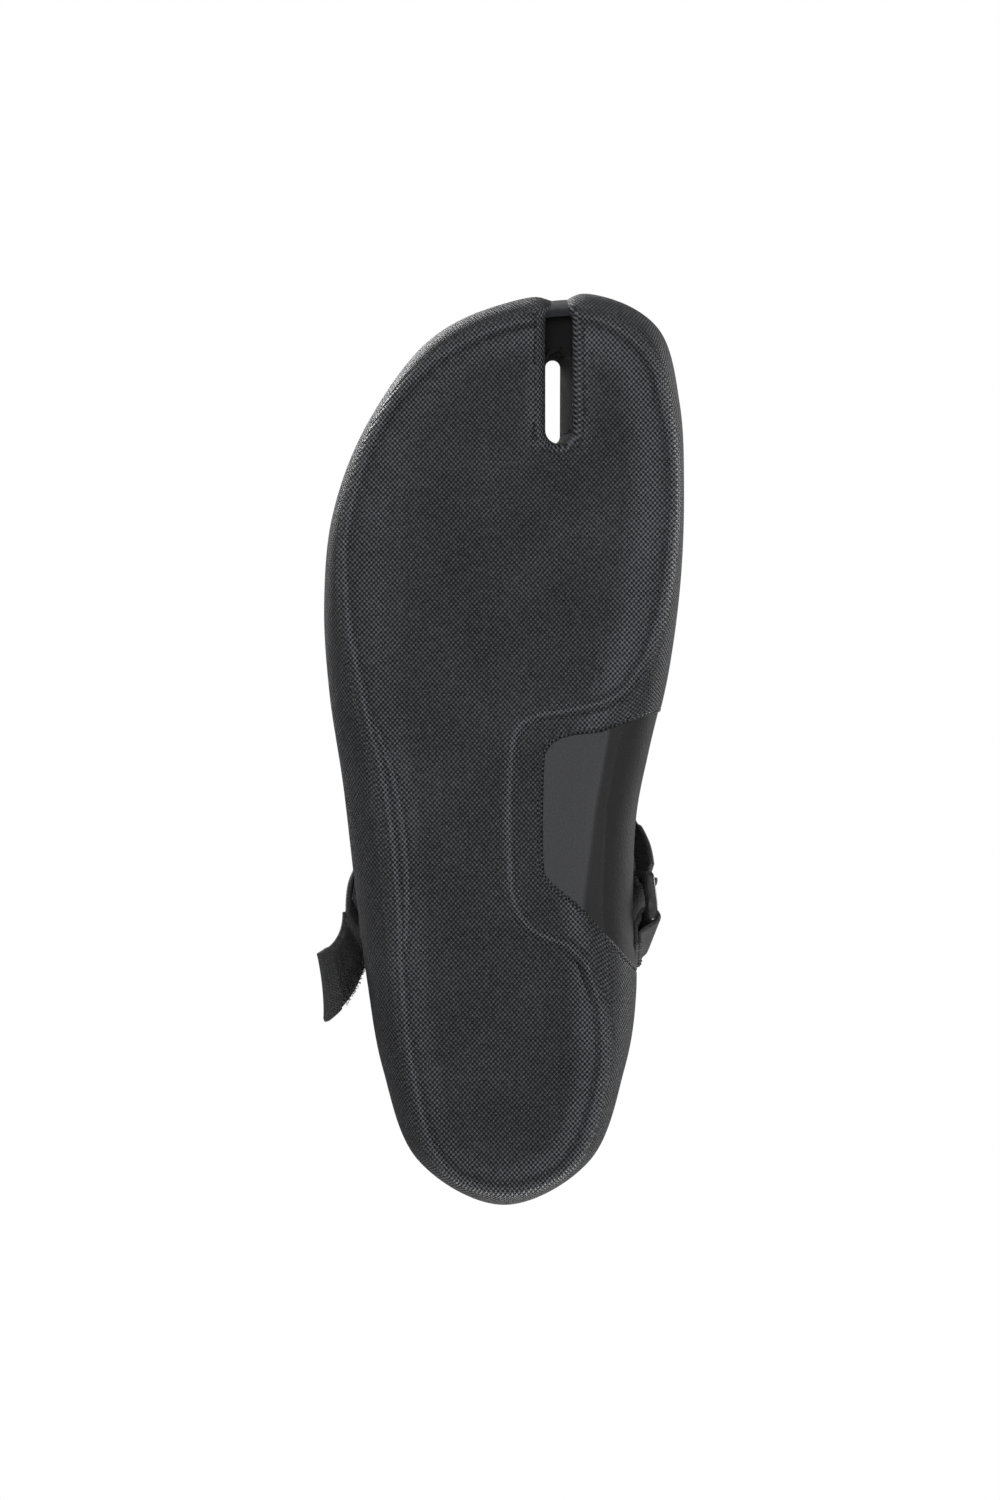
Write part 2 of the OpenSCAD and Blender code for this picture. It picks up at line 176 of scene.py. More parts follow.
# ---------------------------------------------------------------- mesh helpers
def mesh_object(name, points, faces, uvs=None):
    """A smooth-shaded mesh from points in millimetres; uvs are one pair a point."""
    data = bpy.data.meshes.new(name)
    data.from_pydata((np.asarray(points, float) * MM).tolist(), [], faces)
    if uvs is not None:
        layer = data.uv_layers.new(name="cloth")
        loops = np.empty(len(data.loops), int)
        data.loops.foreach_get("vertex_index", loops)
        layer.data.foreach_set("uv", (np.asarray(uvs, float)[loops] * MM).ravel())
    data.shade_smooth()
    data.validate()
    obj = bpy.data.objects.new(name, data)
    bpy.context.scene.collection.objects.link(obj)
    return obj


def grid_faces(rows, cols, start=0, wrap=False, flip=False):
    """Quads of a rows x cols grid of points; wrap joins the last row to the first."""
    faces = []
    for i in range(rows if wrap else rows - 1):
        a, b = start + i * cols, start + ((i + 1) % rows) * cols
        for j in range(cols - 1):
            quad = (a + j, b + j, b + j + 1, a + j + 1)
            faces.append(quad[::-1] if flip else quad)
    return faces


def arc_uv(points):
    """Distances along both directions of a grid of points, so that a weave keeps its scale."""
    du = np.linalg.norm(np.diff(points, axis=0), axis=-1)
    dt = np.linalg.norm(np.diff(points, axis=1), axis=-1)
    a = np.vstack([np.zeros(points.shape[1]), np.cumsum(du, axis=0)])
    a = a - a.mean(axis=0) + a.mean()
    b = np.hstack([np.zeros((points.shape[0], 1)), np.cumsum(dt, axis=1)])
    return np.stack([a, b], -1)


def loop_faces(rows, cols):
    """Quads of a rows x cols grid of points that closes on itself both ways."""
    faces = []
    for i in range(rows):
        a, b = i * cols, ((i + 1) % rows) * cols
        for j in range(cols):
            k = (j + 1) % cols
            faces.append((a + j, a + k, b + k, b + j))
    return faces


def slab(name, outer, inner, wrap=False):
    """A closed sheet between two grids, outer and inner."""
    rows, cols = outer.shape[:2]
    n = rows * cols
    points = np.concatenate([outer.reshape(-1, 3), inner.reshape(-1, 3)])
    uv = arc_uv(outer).reshape(-1, 2)
    faces = grid_faces(rows, cols, 0, wrap) + grid_faces(rows, cols, n, wrap, flip=True)
    for i in range(rows if wrap else rows - 1):
        a, b = i * cols, ((i + 1) % rows) * cols
        faces.append((a, n + a, n + b, b))
        faces.append((a + cols - 1, b + cols - 1, n + b + cols - 1, n + a + cols - 1))
    if not wrap:
        for j in range(cols - 1):
            faces.append((j, j + 1, n + j + 1, n + j))
            k = (rows - 1) * cols + j
            faces.append((k, n + k, n + k + 1, k + 1))
    return mesh_object(name, points, faces, np.concatenate([uv, uv]))


def join(name, objects):
    """Joins mesh objects into the first, and names it."""
    bpy.ops.object.select_all(action="DESELECT")
    for o in objects:
        o.select_set(True)
    bpy.context.view_layer.objects.active = objects[0]
    bpy.ops.object.join()
    objects[0].name = name
    return objects[0]


def apply_all(obj):
    """Bakes an object's modifiers into its mesh."""
    graph = bpy.context.evaluated_depsgraph_get()
    data = bpy.data.meshes.new_from_object(obj.evaluated_get(graph))
    obj.modifiers.clear()
    obj.data = data


def tube(name, paths, radius, sides=6):
    """Round threads along several paths, in one mesh."""
    points, faces, uvs = [], [], []
    angles = np.linspace(0, 2 * np.pi, sides, endpoint=False)
    for path in paths:
        path = np.asarray(path, float)
        tangent = unit(np.gradient(path, axis=0))
        side = unit(np.cross(tangent, (0.31, 0.22, 0.92)))
        up = np.cross(side, tangent)
        start, rows = len(points), len(path)
        for p, s, w, d in zip(path, side, up, run_along(path)):
            for a in angles:
                points.append(p + radius * (math.cos(a) * s + math.sin(a) * w))
                uvs.append((d, a * radius))
        for i in range(rows - 1):
            a0, b0 = start + i * sides, start + (i + 1) * sides
            for j in range(sides):
                k = (j + 1) % sides
                faces.append((a0 + j, a0 + k, b0 + k, b0 + j))
        faces.append(tuple(start + j for j in range(sides)))
        faces.append(tuple(start + (rows - 1) * sides + j for j in reversed(range(sides))))
    return mesh_object(name, points, faces, uvs)


# ---------------------------------------------------------------- materials
def node(tree, kind, **values):
    n = tree.nodes.new(kind)
    for key, value in values.items():
        if hasattr(n, key):
            setattr(n, key, value)
        else:
            n.inputs[key].default_value = value
    return n


def math_node(tree, op, *values):
    n = node(tree, "ShaderNodeMath", operation=op)
    for i, v in enumerate(values):
        if isinstance(v, (int, float)):
            n.inputs[i].default_value = v
        else:
            tree.links.new(v, n.inputs[i])
    return n.outputs[0]


def new_material(name, roughness, specular, sheen=0.0, coat=0.0, uv=True):
    """A Principled material, its node tree, and its coordinates: along the cloth, or the object's."""
    mat = bpy.data.materials.new(name)
    mat.use_nodes = True
    tree = mat.node_tree
    shader = tree.nodes["Principled BSDF"]
    shader.inputs["Roughness"].default_value = roughness
    shader.inputs["Specular IOR Level"].default_value = specular
    if sheen:
        shader.inputs["Sheen Weight"].default_value = sheen
        shader.inputs["Sheen Roughness"].default_value = 0.45
    if coat:
        shader.inputs["Coat Weight"].default_value = coat
        shader.inputs["Coat Roughness"].default_value = 0.2
    if uv:
        return mat, tree, node(tree, "ShaderNodeUVMap", uv_map="cloth").outputs[0]
    return mat, tree, node(tree, "ShaderNodeTexCoord").outputs["Object"]


def noise(tree, vector, scale, detail=3.0):
    n = node(tree, "ShaderNodeTexNoise", Scale=scale, Detail=detail, Roughness=0.55)
    tree.links.new(vector, n.inputs["Vector"])
    return n.outputs["Fac"]


def cells(tree, vector, scale):
    n = node(tree, "ShaderNodeTexVoronoi", Scale=scale)
    tree.links.new(vector, n.inputs["Vector"])
    return n.outputs["Distance"]


def ramp(tree, fac, stops):
    n = tree.nodes.new("ShaderNodeValToRGB")
    first, last = n.color_ramp.elements[0], n.color_ramp.elements[-1]
    first.position, first.color = stops[0][0], (*stops[0][1], 1)
    last.position, last.color = stops[-1][0], (*stops[-1][1], 1)
    for pos, col in stops[1:-1]:
        n.color_ramp.elements.new(pos).color = (*col, 1)
    tree.links.new(fac, n.inputs[0])
    return n.outputs[0]


def grey(level, tint=0.13):
    """A dark grey with a little blue in it."""
    return (level, level * (1 + tint / 6), level * (1 + tint))


def ripple(tree, vector, pitch_u, pitch_v):
    """Staggered rounded bumps, from -1 to 1: one each half pitch, the pitches in millimetres."""
    sep = node(tree, "ShaderNodeSeparateXYZ")
    tree.links.new(vector, sep.inputs[0])
    waves = []
    for axis, pitch in enumerate((pitch_u, pitch_v)):
        turn = math_node(tree, "MULTIPLY", sep.outputs[axis], 2 * math.pi / (pitch * MM))
        waves.append(math_node(tree, "SINE", turn))
    return math_node(tree, "MULTIPLY", *waves)


def blend_heights(tree, *pairs):
    """The sum of heights, each times its share."""
    total = None
    for height, share in pairs:
        part = math_node(tree, "MULTIPLY", height, share)
        total = part if total is None else math_node(tree, "ADD", total, part)
    return total


def dress(mat, tone, stops, shine, rough, height, depth):
    """Joins a material's tone, roughness and bump; depth is the bump's, in millimetres."""
    tree = mat.node_tree
    shader = tree.nodes["Principled BSDF"]
    tree.links.new(ramp(tree, tone, stops), shader.inputs["Base Color"])
    spread_out = node(tree, "ShaderNodeMapRange")
    spread_out.inputs["To Min"].default_value, spread_out.inputs["To Max"].default_value = rough
    tree.links.new(shine, spread_out.inputs["Value"])
    tree.links.new(spread_out.outputs[0], shader.inputs["Roughness"])
    relief = node(tree, "ShaderNodeBump", Strength=1.0, Distance=depth * MM)
    tree.links.new(height, relief.inputs["Height"])
    tree.links.new(relief.outputs[0], shader.inputs["Normal"])
    return mat


def painted_light_of(tree):
    """How much painted light each point takes, as marked on its points: a painted highlight above 0, painted
    shade below 0.
    """
    return node(tree, "ShaderNodeAttribute", attribute_name="painted_light").outputs["Fac"]


def sole_rubber():
    """Moulded rubber with a fine canvas-like emboss; a painted highlight makes it pale, and it is smoother,
    where it stands proud, and painted shade darkens the rand.
    """
    mat, tree, at = new_material("sole_rubber", 0.5, 0.35)
    wobble = noise(tree, at, 420, 2)
    canvas = ripple(tree, at, 1.45, 1.6)
    grain = noise(tree, at, 1500, 3)
    patchy = noise(tree, at, 38, 4)
    painted_light = painted_light_of(tree)
    # painted highlight and painted shade from the marked points; the canvas bumps are painted brighter as
    # glints where the highlight lies
    painted_knot_glints = math_node(tree, "MULTIPLY", canvas, painted_light)
    tone = blend_heights(tree, (canvas, 0.26), (patchy, 0.22), (grain, 0.58), (wobble, 0.2), (painted_light, 0.14),
                         (painted_knot_glints, 0.2))
    stops = [(0.32, grey(0.010)), (0.51, grey(0.037)), (0.68, grey(0.090)), (0.92, grey(0.18))]
    shine = blend_heights(tree, (patchy, 1.0), (painted_light, -0.5), (canvas, -0.15))
    height = blend_heights(tree, (canvas, 0.55), (grain, 0.5), (wobble, 0.4))
    return dress(mat, tone, stops, shine, (0.38, 0.62), height, 0.5)


def arch_coating():
    """Thin matt rubber coat over neoprene: a fine leathery grain, with a painted highlight on the flat and
    painted shade on the side.
    """
    mat, tree, at = new_material("arch_coating", 0.7, 0.4)
    grain = noise(tree, at, 1700, 2)
    patchy = noise(tree, at, 60, 3)
    # painted light: the flat is painted pale and the side is painted in shade
    tone = blend_heights(tree, (patchy, 0.12), (grain, 0.4), (painted_light_of(tree), 0.62))
    stops = [(0.1, grey(0.008, 0.03)), (0.36, grey(0.016, 0.03)), (0.72, grey(0.034, 0.08)),
             (1.0, grey(0.064, 0.08))]
    height = blend_heights(tree, (cells(tree, at, 1100), 0.7), (grain, 0.4))
    return dress(mat, tone, stops, patchy, (0.62, 0.8), height, 0.12)


def knit(name, dark, light):
    """Jersey face of neoprene: tiny staggered stitches, a soft sheen, a little lint."""
    mat, tree, at = new_material(name, 0.86, 0.25, sheen=0.14)
    stitch = ripple(tree, at, 0.9, 0.7)
    fuzz = noise(tree, at, 2400, 2)
    patchy = noise(tree, at, 26, 4)
    tone = blend_heights(tree, (stitch, 0.10), (fuzz, 0.35), (patchy, 0.55))
    height = blend_heights(tree, (stitch, 0.45), (fuzz, 0.5), (patchy, 0.6))
    return dress(mat, tone, [(0.28, grey(dark)), (0.7, grey(light))], fuzz, (0.78, 0.95), height, 0.16)


def webbing(name, dark, light, pitch=1.6):
    """Woven nylon webbing: ribs across, threads along."""
    mat, tree, at = new_material(name, 0.62, 0.4, sheen=0.1)
    ribs = ripple(tree, at, pitch, 1.1)
    thread = ripple(tree, at, 0.42, 0.55)
    fuzz = noise(tree, at, 1500, 3)
    tone = blend_heights(tree, (ribs, 0.16), (fuzz, 0.85))
    height = blend_heights(tree, (ribs, 0.6), (thread, 0.25), (fuzz, 0.3))
    return dress(mat, tone, [(0.25, grey(dark)), (0.75, grey(light))], fuzz, (0.5, 0.78), height, 0.3)


def pile(name, dark, light, scale):
    """Brushed loops or moulded hooks: a dense field of small points."""
    mat, tree, at = new_material(name, 0.9, 0.3, sheen=0.3)
    points = cells(tree, at, scale)
    fuzz = noise(tree, at, scale * 2.5, 3)
    tone = blend_heights(tree, (points, 0.7), (fuzz, 0.5))
    height = blend_heights(tree, (points, -0.9), (fuzz, 0.4))
    return dress(mat, tone, [(0.25, grey(light)), (0.8, grey(dark))], fuzz, (0.8, 0.98), height, 0.5)


def moulded_plastic():
    """Glossy black acetal with faint flow marks."""
    mat, tree, at = new_material("moulded_plastic", 0.25, 0.5, coat=0.2, uv=False)
    flow = noise(tree, at, 240, 4)
    speck = noise(tree, at, 2200, 2)
    height = blend_heights(tree, (flow, 0.7), (speck, 0.3))
    return dress(mat, flow, [(0.3, grey(0.008)), (0.75, grey(0.017))], speck, (0.2, 0.38), height, 0.05)


def thread_material():
    """Bonded polyester sewing thread, twisted."""
    mat, tree, at = new_material("thread", 0.55, 0.4, sheen=0.1)
    twist = ripple(tree, at, 0.5, 0.8)
    speck = noise(tree, at, 3000, 2)
    tone = blend_heights(tree, (twist, 0.12), (speck, 0.9))
    return dress(mat, tone, [(0.25, grey(0.022)), (0.75, grey(0.055))], speck, (0.42, 0.7), twist, 0.08)


def foam_fabric():
    """Insole: a fabric face on moulded foam."""
    mat, tree, at = new_material("foam_fabric", 0.9, 0.25, sheen=0.2, uv=False)
    weave = ripple(tree, at, 1.5, 1.5)
    fuzz = noise(tree, at, 1800, 3)
    worn = noise(tree, at, 22, 3)
    tone = blend_heights(tree, (weave, 0.1), (fuzz, 0.4), (worn, 0.5))
    height = blend_heights(tree, (weave, 0.5), (fuzz, 0.4))
    stops = [(0.3, grey(0.035, 0.15)), (0.7, grey(0.075, 0.15))]
    return dress(mat, tone, stops, worn, (0.8, 0.95), height, 0.2)


SOLE = sole_rubber()
ARCH = arch_coating()
KNIT = knit("neoprene_knit", 0.022, 0.044)
KNIT_CUFF = knit("neoprene_cuff", 0.030, 0.056)
LINING = knit("lining_jersey", 0.035, 0.07)
# painted shade: a near-black copy of the lining jersey for the slot's recess and the web over it
SHADED_SLOT_JERSEY = knit("slot_jersey_painted_shade", 0.003, 0.008)
BINDING = webbing("binding_tape", 0.010, 0.024, 1.1)
WEBBING = webbing("strap_webbing", 0.010, 0.028)
HEM = webbing("hem_webbing", 0.009, 0.026, 1.2)
LOOP = pile("loop_pile", 0.008, 0.036, 900)
HOOK = pile("hook_tape", 0.008, 0.035, 750)
PLASTIC = moulded_plastic()
THREAD = thread_material()
FOAM = foam_fabric()


def finish_piece(obj, body, material, slot, *nodes):
    """Gives a piece its material and body, and hides the CAD nodes it stands for; slot is not used."""
    obj.data.materials.clear()
    obj.data.materials.append(material)
    for polygon in obj.data.polygons:
        polygon.material_index = 0
    if body:
        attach(obj, body)
    if nodes:
        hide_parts(*nodes)
    return obj


# ---------------------------------------------------------------- outsole
SLOT_X0, SLOT_X1 = 12.8, 21.2
SLOT_FRONT, SLOT_BACK = -137.2, -95.0
SLOT_MID = (SLOT_X0 + SLOT_X1) / 2
RECESS_BACK, RECESS_TOP = -124.0, 8.8
# Heights that a cutter spans to cut right through
CUT_LOW, CUT_HIGH = -5, 60
ARCH_CUT = [(75, -24), (47, -12.5), (30, -6.5), (19, -5), (13, -1), (11.5, 6),
            (11.3, 34), (13.5, 41), (24, 50), (41, 69), (75, 100)]
ARCH_BEAD = [(38, -19), (31, -14.8), (20, -12.2), (11, -10.8), (6, -8.4), (3, -3.6), (2.2, 3),
             (1.6, 12), (1.5, 22), (1.7, 34), (2.6, 45), (5.4, 52), (11, 57), (19, 60.2), (25, 65)]
# Where the flat of the arch panel turns up into its side, and where its painted highlight gives way to
# painted shade
ARCH_CREASE_Y, ARCH_CREASE_X = (-24, -5, 20, 47, 70), (34, 32.6, 28.2, 25, 24)
LATERAL_RIDGE = [(-42.5, -14), (-38.5, -4), (-34.8, 6.5), (-31.6, 22), (-30.1, 38), (-30.2, 54), (-31.2, 68)]


def from_heel(u):
    """How far round the boot u is from the back of the heel, from 0 to 0.5."""
    return np.minimum(u % 1, 1 - u % 1)


def rand_top(u):
    """The t of the rand's top edge: higher at the toe and the heel."""
    return 0.03 + 0.1 * bump(u % 1, 0.5, 0.13) + 0.1 * bump(from_heel(u), 0, 0.13)


def toe_groove(points):
    """How far the outside dips between the two toe lobes."""
    x, y, z = points[..., 0], points[..., 1], points[..., 2]
    across = np.exp(-(((x - SLOT_MID) / 4.4) ** 2))
    return 3.4 * across * smooth((-128 - y) / 8) * smooth((24 - z) / 12)


def tread_spine(edge):
    """The middle line of the tread, a point of it for each point of the edge."""
    y = np.clip(edge[:, 1], -100, 108)
    return np.stack([np.interp(y, [-100, 0, 108], [8, -4, 0]), y], -1)


def flat_row(spine, edge, share, z):
    """A row of points at height z, a share of the way from the spine to the edge."""
    flat = spine * (1 - share) + edge * share
    return np.column_stack([flat, np.broadcast_to(z, len(flat))])


FLAT_ROWS, WALL_ROWS = 15, 40


def sole_body():
    """The closed rubber shell: tread, rand, rolled top edge and inside."""
    cols = 420
    u = np.arange(cols) / cols
    edge = round_trip(TREAD_EDGE, u)
    spine = tread_spine(edge)
    top = rand_top(u)
    rows = [flat_row(spine, edge, r, TREAD_LIFT) for r in np.linspace(0, 1, FLAT_ROWS + 1)[:-1]]
    for r in np.linspace(0, 1, WALL_ROWS):
        t = -1 + (top + 1) * r
        p = skin(u, t)
        p = p - toe_groove(p)[:, None] * outward(u, t)
        p[:, 2] = np.sqrt(p[:, 2] ** 2 + TREAD_LIFT**2)
        rows.append(p)
    for a in np.radians((30, 60, 90, 120, 150)):
        rows.append(below(u, top + 0.012 * math.sin(a), RUBBER / 2 * (1 - math.cos(a))))
    for r in np.linspace(1, 0, 12):
        t = -1 + (top + 1) * r
        p = below(u, t, RUBBER)
        rows.append(p - toe_groove(p)[:, None] * outward(u, t))
    rows += [flat_row(spine, edge, r, TREAD_LIFT + RUBBER) for r in (0.8, 0.5, 0.2, 0)]
    grid = np.stack(rows, axis=1)
    # Tread and rand share one flattened map: beyond the bead it runs on along the wall
    uv = grid[..., :2].copy()
    run = np.cumsum(np.linalg.norm(np.diff(grid, axis=1), axis=-1), axis=1)
    out = unit(np.stack([np.gradient(edge[:, 1]), -np.gradient(edge[:, 0])], -1))
    for j in range(FLAT_ROWS + 1, grid.shape[1]):
        uv[:, j] = edge + out * (run[:, j - 1] - run[:, FLAT_ROWS - 1])[:, None]
    obj = mesh_object("outsole_rubber", grid.reshape(-1, 3), grid_faces(cols, grid.shape[1], wrap=True),
                      uv.reshape(-1, 2))
    mark_painted_light(obj, sole_painted_light(grid, edge).ravel())
    weld(obj, 0.02)
    return obj


def sole_painted_light(grid, edge):
    """Painted light on the shell: a painted highlight just inside the bead and beside the slot, painted shade
    on the rand.
    """
    side = 0.45 + 0.55 * smooth((edge[:, :1] + 20) / 40)
    j = np.arange(grid.shape[1])
    # painted highlight on the tread just inside the bead, stronger towards the big-toe side
    pale = 0.85 * bump(j / FLAT_ROWS, 0.84, 0.2) * side
    # painted shade on the rand and the rows beyond it, deepening from the bead up the wall
    dark = -0.5 * smooth((j - FLAT_ROWS - 4) / (WALL_ROWS * 0.3))
    x, y, z = grid[..., 0], grid[..., 1], grid[..., 2]
    # painted highlight on the sole along both sides of the slot
    lip = np.exp(-(((np.abs(x - SLOT_MID) - 6.5) / 3.5) ** 2)) * smooth((-90 - y) / 8) * (z < 4)
    return np.where(j < FLAT_ROWS, pale, dark) + 0.6 * lip


def weld(obj, distance):
    """Joins points closer than a distance in millimetres, and turns the faces outward."""
    bm = bmesh.new()
    bm.from_mesh(obj.data)
    bmesh.ops.remove_doubles(bm, verts=bm.verts, dist=distance * MM)
    bmesh.ops.recalc_face_normals(bm, faces=bm.faces)
    bm.to_mesh(obj.data)
    bm.free()


def prism(outline, low, high):
    """An upright prism to cut with; weld turns its faces outward."""
    n = len(outline)
    points = [(x, y, low) for x, y in outline] + [(x, y, high) for x, y in outline]
    faces = [tuple(reversed(range(n))), tuple(range(n, 2 * n))]
    faces += [(i, (i + 1) % n, n + (i + 1) % n, n + i) for i in range(n)]
    obj = mesh_object("cutter", points, faces)
    weld(obj, 0)
    return obj


def cut(obj, cutter, keep_inside=False, crossing=False):
    """Cuts an object with a cutter, or keeps only what is inside it."""
    mod = obj.modifiers.new("cut", "BOOLEAN")
    mod.operation = "INTERSECT" if keep_inside else "DIFFERENCE"
    mod.object = cutter
    mod.solver = "EXACT"
    mod.use_self = crossing
    apply_all(obj)
    bpy.data.objects.remove(cutter)


def slot_outline(grow, front_grow, front=SLOT_FRONT, back=SLOT_BACK, x0=SLOT_X0, x1=SLOT_X1):
    """The slot's outline with round ends, grown sideways and at its ends."""
    mid, reach = (x0 + x1) / 2, (x1 - x0) / 2
    ends = []
    turn = np.linspace(0, math.pi, 15)
    for sign, y, end_grow in ((1, back - reach, grow), (-1, front + reach, front_grow)):
        x = mid + sign * (reach + grow) * np.cos(turn)
        ends.append(np.column_stack([x, y + sign * (reach + end_grow) * np.sin(turn)]))
    return fill_in(np.vstack(ends), 1.2)


def ground_under(tree, x, y):
    """Where an upward ray first meets the sole, in millimetres."""
    hit = tree.ray_cast(Vector((x * MM, y * MM, -0.02)), Vector((0, 0, 1)))
    return (hit[0].z / MM) if hit[0] is not None else None


def ridge_strip(name, path, tree, half, height, width, closed=False):
    """A moulded bead: a low rounded hump along a path over the sole, its edges sunk into the rubber."""
    path = np.asarray(path, float)
    if closed:
        step = np.roll(path, -1, 0) - np.roll(path, 1, 0)
    else:
        step = np.gradient(path, axis=0)
    side = unit(np.stack([-step[:, 1], step[:, 0]], -1))
    across, sink = np.linspace(-1, 1, 17), 0.06
    rows, painted_highlight_share, base = [], [], TREAD_LIFT
    for k, (p, s) in enumerate(zip(path, side)):
        fade = 1.0 if closed else smooth(min(k, len(path) - 1 - k) / 8)
        row = []
        for c in across:
            q = p + s * c * half
            z = ground_under(tree, *q)
            base = base if z is None else z
            hump = math.exp(-(((c * half) / width) ** 2))
            row.append((q[0], q[1], base + sink - fade * (height + sink) * hump))
            # the bead's crest takes a painted highlight, fading out towards open ends
            painted_highlight_share.append(float(fade * hump))
        rows.append(row)
    grid = np.array(rows)
    faces = grid_faces(len(rows), len(across), wrap=closed, flip=True)
    obj = mesh_object(name, grid.reshape(-1, 3), faces, grid[..., :2].reshape(-1, 2))
    mark_painted_light(obj, painted_highlight_share)
    return obj


def mark_painted_light(obj, values):
    """How much painted light each point takes: above 0 a painted highlight, 0 the plain tone, and less than 0
    painted shade.
    """
    attribute = obj.data.attributes.get("painted_light") or obj.data.attributes.new("painted_light", "FLOAT", "POINT")
    attribute.data.foreach_set("value", np.asarray(values, np.float32))


def slot_lip(tree):
    """The rubber rolls up into the slot from both sides."""
    outer, inner = slot_outline(3.4, 1.2), slot_outline(0, 0)
    ground = [ground_under(tree, x, y) for x, y in outer]
    z = np.array([TREAD_LIFT if g is None else min(g, 9) for g in ground])
    reach = np.linalg.norm(inner - outer, axis=1)
    rows = []
    for a in np.linspace(0, math.pi / 2, 9):
        rows.append(np.column_stack([outer + (inner - outer) * math.sin(a), z + reach * (1 - math.cos(a))]))
    for top in (8.5, 9.5):
        rows.append(np.column_stack([inner, np.maximum(rows[8][:, 2], top)]))
    grid = np.stack(rows, axis=1)
    uv = grid[..., :2] + (grid[..., 2:] - TREAD_LIFT) * 0.7
    obj = mesh_object("slot_lip", grid.reshape(-1, 3), grid_faces(len(grid), len(rows), wrap=True),
                      uv.reshape(-1, 2))
    # painted highlight on the lip's outer roll, where it turns into the slot
    painted_highlight_share = 0.9 * np.exp(-(((np.arange(len(rows)) - 3) / 2.0) ** 2))
    mark_painted_light(obj, np.tile(painted_highlight_share, len(grid)))
    return obj


def wall_crossing(start, end, u_low, u_high, depth):
    """Where an upright plane through two points crosses the wall, found by halving at each height."""
    a, b = np.array(start), np.array(end)
    n = np.array([-(b - a)[1], (b - a)[0]])
    out = []
    for t in np.linspace(-0.75, 0.03, 26):
        lo, hi = u_low, u_high
        first = (below(lo, t, depth)[:2] - a) @ n
        for _ in range(30):
            mid = (lo + hi) / 2
            if ((below(mid, t, depth)[:2] - a) @ n) * first > 0:
                lo = mid
            else:
                hi = mid
        out.append(below(lo, t, depth))
    return np.array(out)


def arch_edge(depth):
    """The outsole's cut edge round the arch: up one wall, over the flat, up the other."""
    front = wall_crossing(ARCH_CUT[2], ARCH_CUT[1], 0.70, 0.79, depth)
    back = wall_crossing(ARCH_CUT[-3], ARCH_CUT[-2], 0.80, 0.90, depth)
    flat = curve_through(ARCH_CUT[2:-2], 1.0)
    z = np.full((len(flat), 1), TREAD_LIFT + depth)
    whole = np.vstack([front[::-1], np.hstack([flat, z]), back])
    keep = [whole[0]]
    for p in whole[1:]:
        if np.linalg.norm(p - keep[-1]) > 0.6:
            keep.append(p)
    return np.array(keep)


def build_outsole():
    body = sole_body()
    cut(body, prism(curve_through(ARCH_CUT, 1.5), CUT_LOW, CUT_HIGH))
    cut(body, prism(slot_outline(3.2, 1.0), CUT_LOW, RECESS_TOP))
    tree = BVHTree.FromObject(body, bpy.context.evaluated_depsgraph_get())
    u = np.concatenate([np.linspace(0.885, 1.0, 60, endpoint=False), np.linspace(0, 0.705, 340)])
    # The bead runs from the arch back round the heel and the toe, then along the arch
    loop = np.vstack([round_trip(TREAD_EDGE, u), curve_through(ARCH_BEAD, 1.2)])
    parts = [body,
             ridge_strip("bead", loop, tree, half=3.1, height=0.95, width=1.6, closed=True),
             ridge_strip("ridge", curve_through(LATERAL_RIDGE, 1.2), tree, half=2.8, height=0.6, width=1.2),
             slot_lip(tree),
             tube("edge_roll", [arch_edge(RUBBER / 2)], RUBBER / 2 + 0.12, sides=14)]
    return finish_piece(join("outsole_rubber", parts), "root", SOLE, "rubber_sole", "outsole")


build_outsole()


# ---------------------------------------------------------------- arch panel, slot lining, sole parts
def arch_crown(p):
    """Height of the arch panel's flat part: a low dome."""
    return 0.9 + 0.7 * np.exp(-(((p[:, 0] - 26) / 9) ** 2)) * np.exp(-(((p[:, 1] - 18) / 26) ** 4))


def arch_panel():
    """The thin coated panel in the cut-out: flat under the arch, then up the side."""
    cols, flat_rows, wall_rows = 150, 26, 46
    u = np.linspace(0.66, 0.93, cols)
    edge = round_trip(TREAD_EDGE, u)
    spine = np.column_stack([np.full(cols, 6.0), np.clip(edge[:, 1] * 0.9 + 2, -30, 75)])
    inner_lift, recess = 2.2, 0.55
    outer, inner = [], []
    for r in np.linspace(0, 1, flat_rows)[:-1]:
        inner.append(flat_row(spine, edge, r, inner_lift))
        outer.append(flat_row(spine, edge, r, arch_crown(inner[-1])))
    for r in np.linspace(0, 1, wall_rows):
        t = -1 + 1.155 * r
        p = below(u, t, recess)
        p[:, 2] = np.sqrt(p[:, 2] ** 2 + arch_crown(p) ** 2 * (1 - smooth(r * 1.6)))
        outer.append(p)
        q = below(u, t, RUBBER)
        q[:, 2] = np.maximum(q[:, 2], inner_lift)
        inner.append(q)
    obj = slab("arch_skin", np.stack(outer, 1), np.stack(inner, 1))
    weld(obj, 0.005)
    inset = [(x + (0.4 if x < 20 else 0), y + (0.4 if y < 20 else -0.4)) for x, y in ARCH_CUT]
    cut(obj, prism(curve_through(inset, 1.5), CUT_LOW, CUT_HIGH), keep_inside=True)
    obj.data.shade_smooth()
    points = np.array([v.co for v in obj.data.vertices]) / MM
    crease = np.interp(points[:, 1], ARCH_CREASE_Y, ARCH_CREASE_X)
    # painted light: a painted highlight on the flat, painted shade from the crease up the side
    mark_painted_light(obj, 1 - smooth((points[:, 0] - crease + 0.6) / 1.2))
    return finish_piece(obj, "root", ARCH, "arch_rubber", "arch_panel")


def resample(path, count):
    """A closed path with another number of points."""
    closed = np.vstack([path, path[:1]])
    have, want = np.linspace(0, 1, len(closed)), np.linspace(0, 1, count, endpoint=False)
    return np.stack([np.interp(want, have, closed[:, k]) for k in (0, 1)], -1)


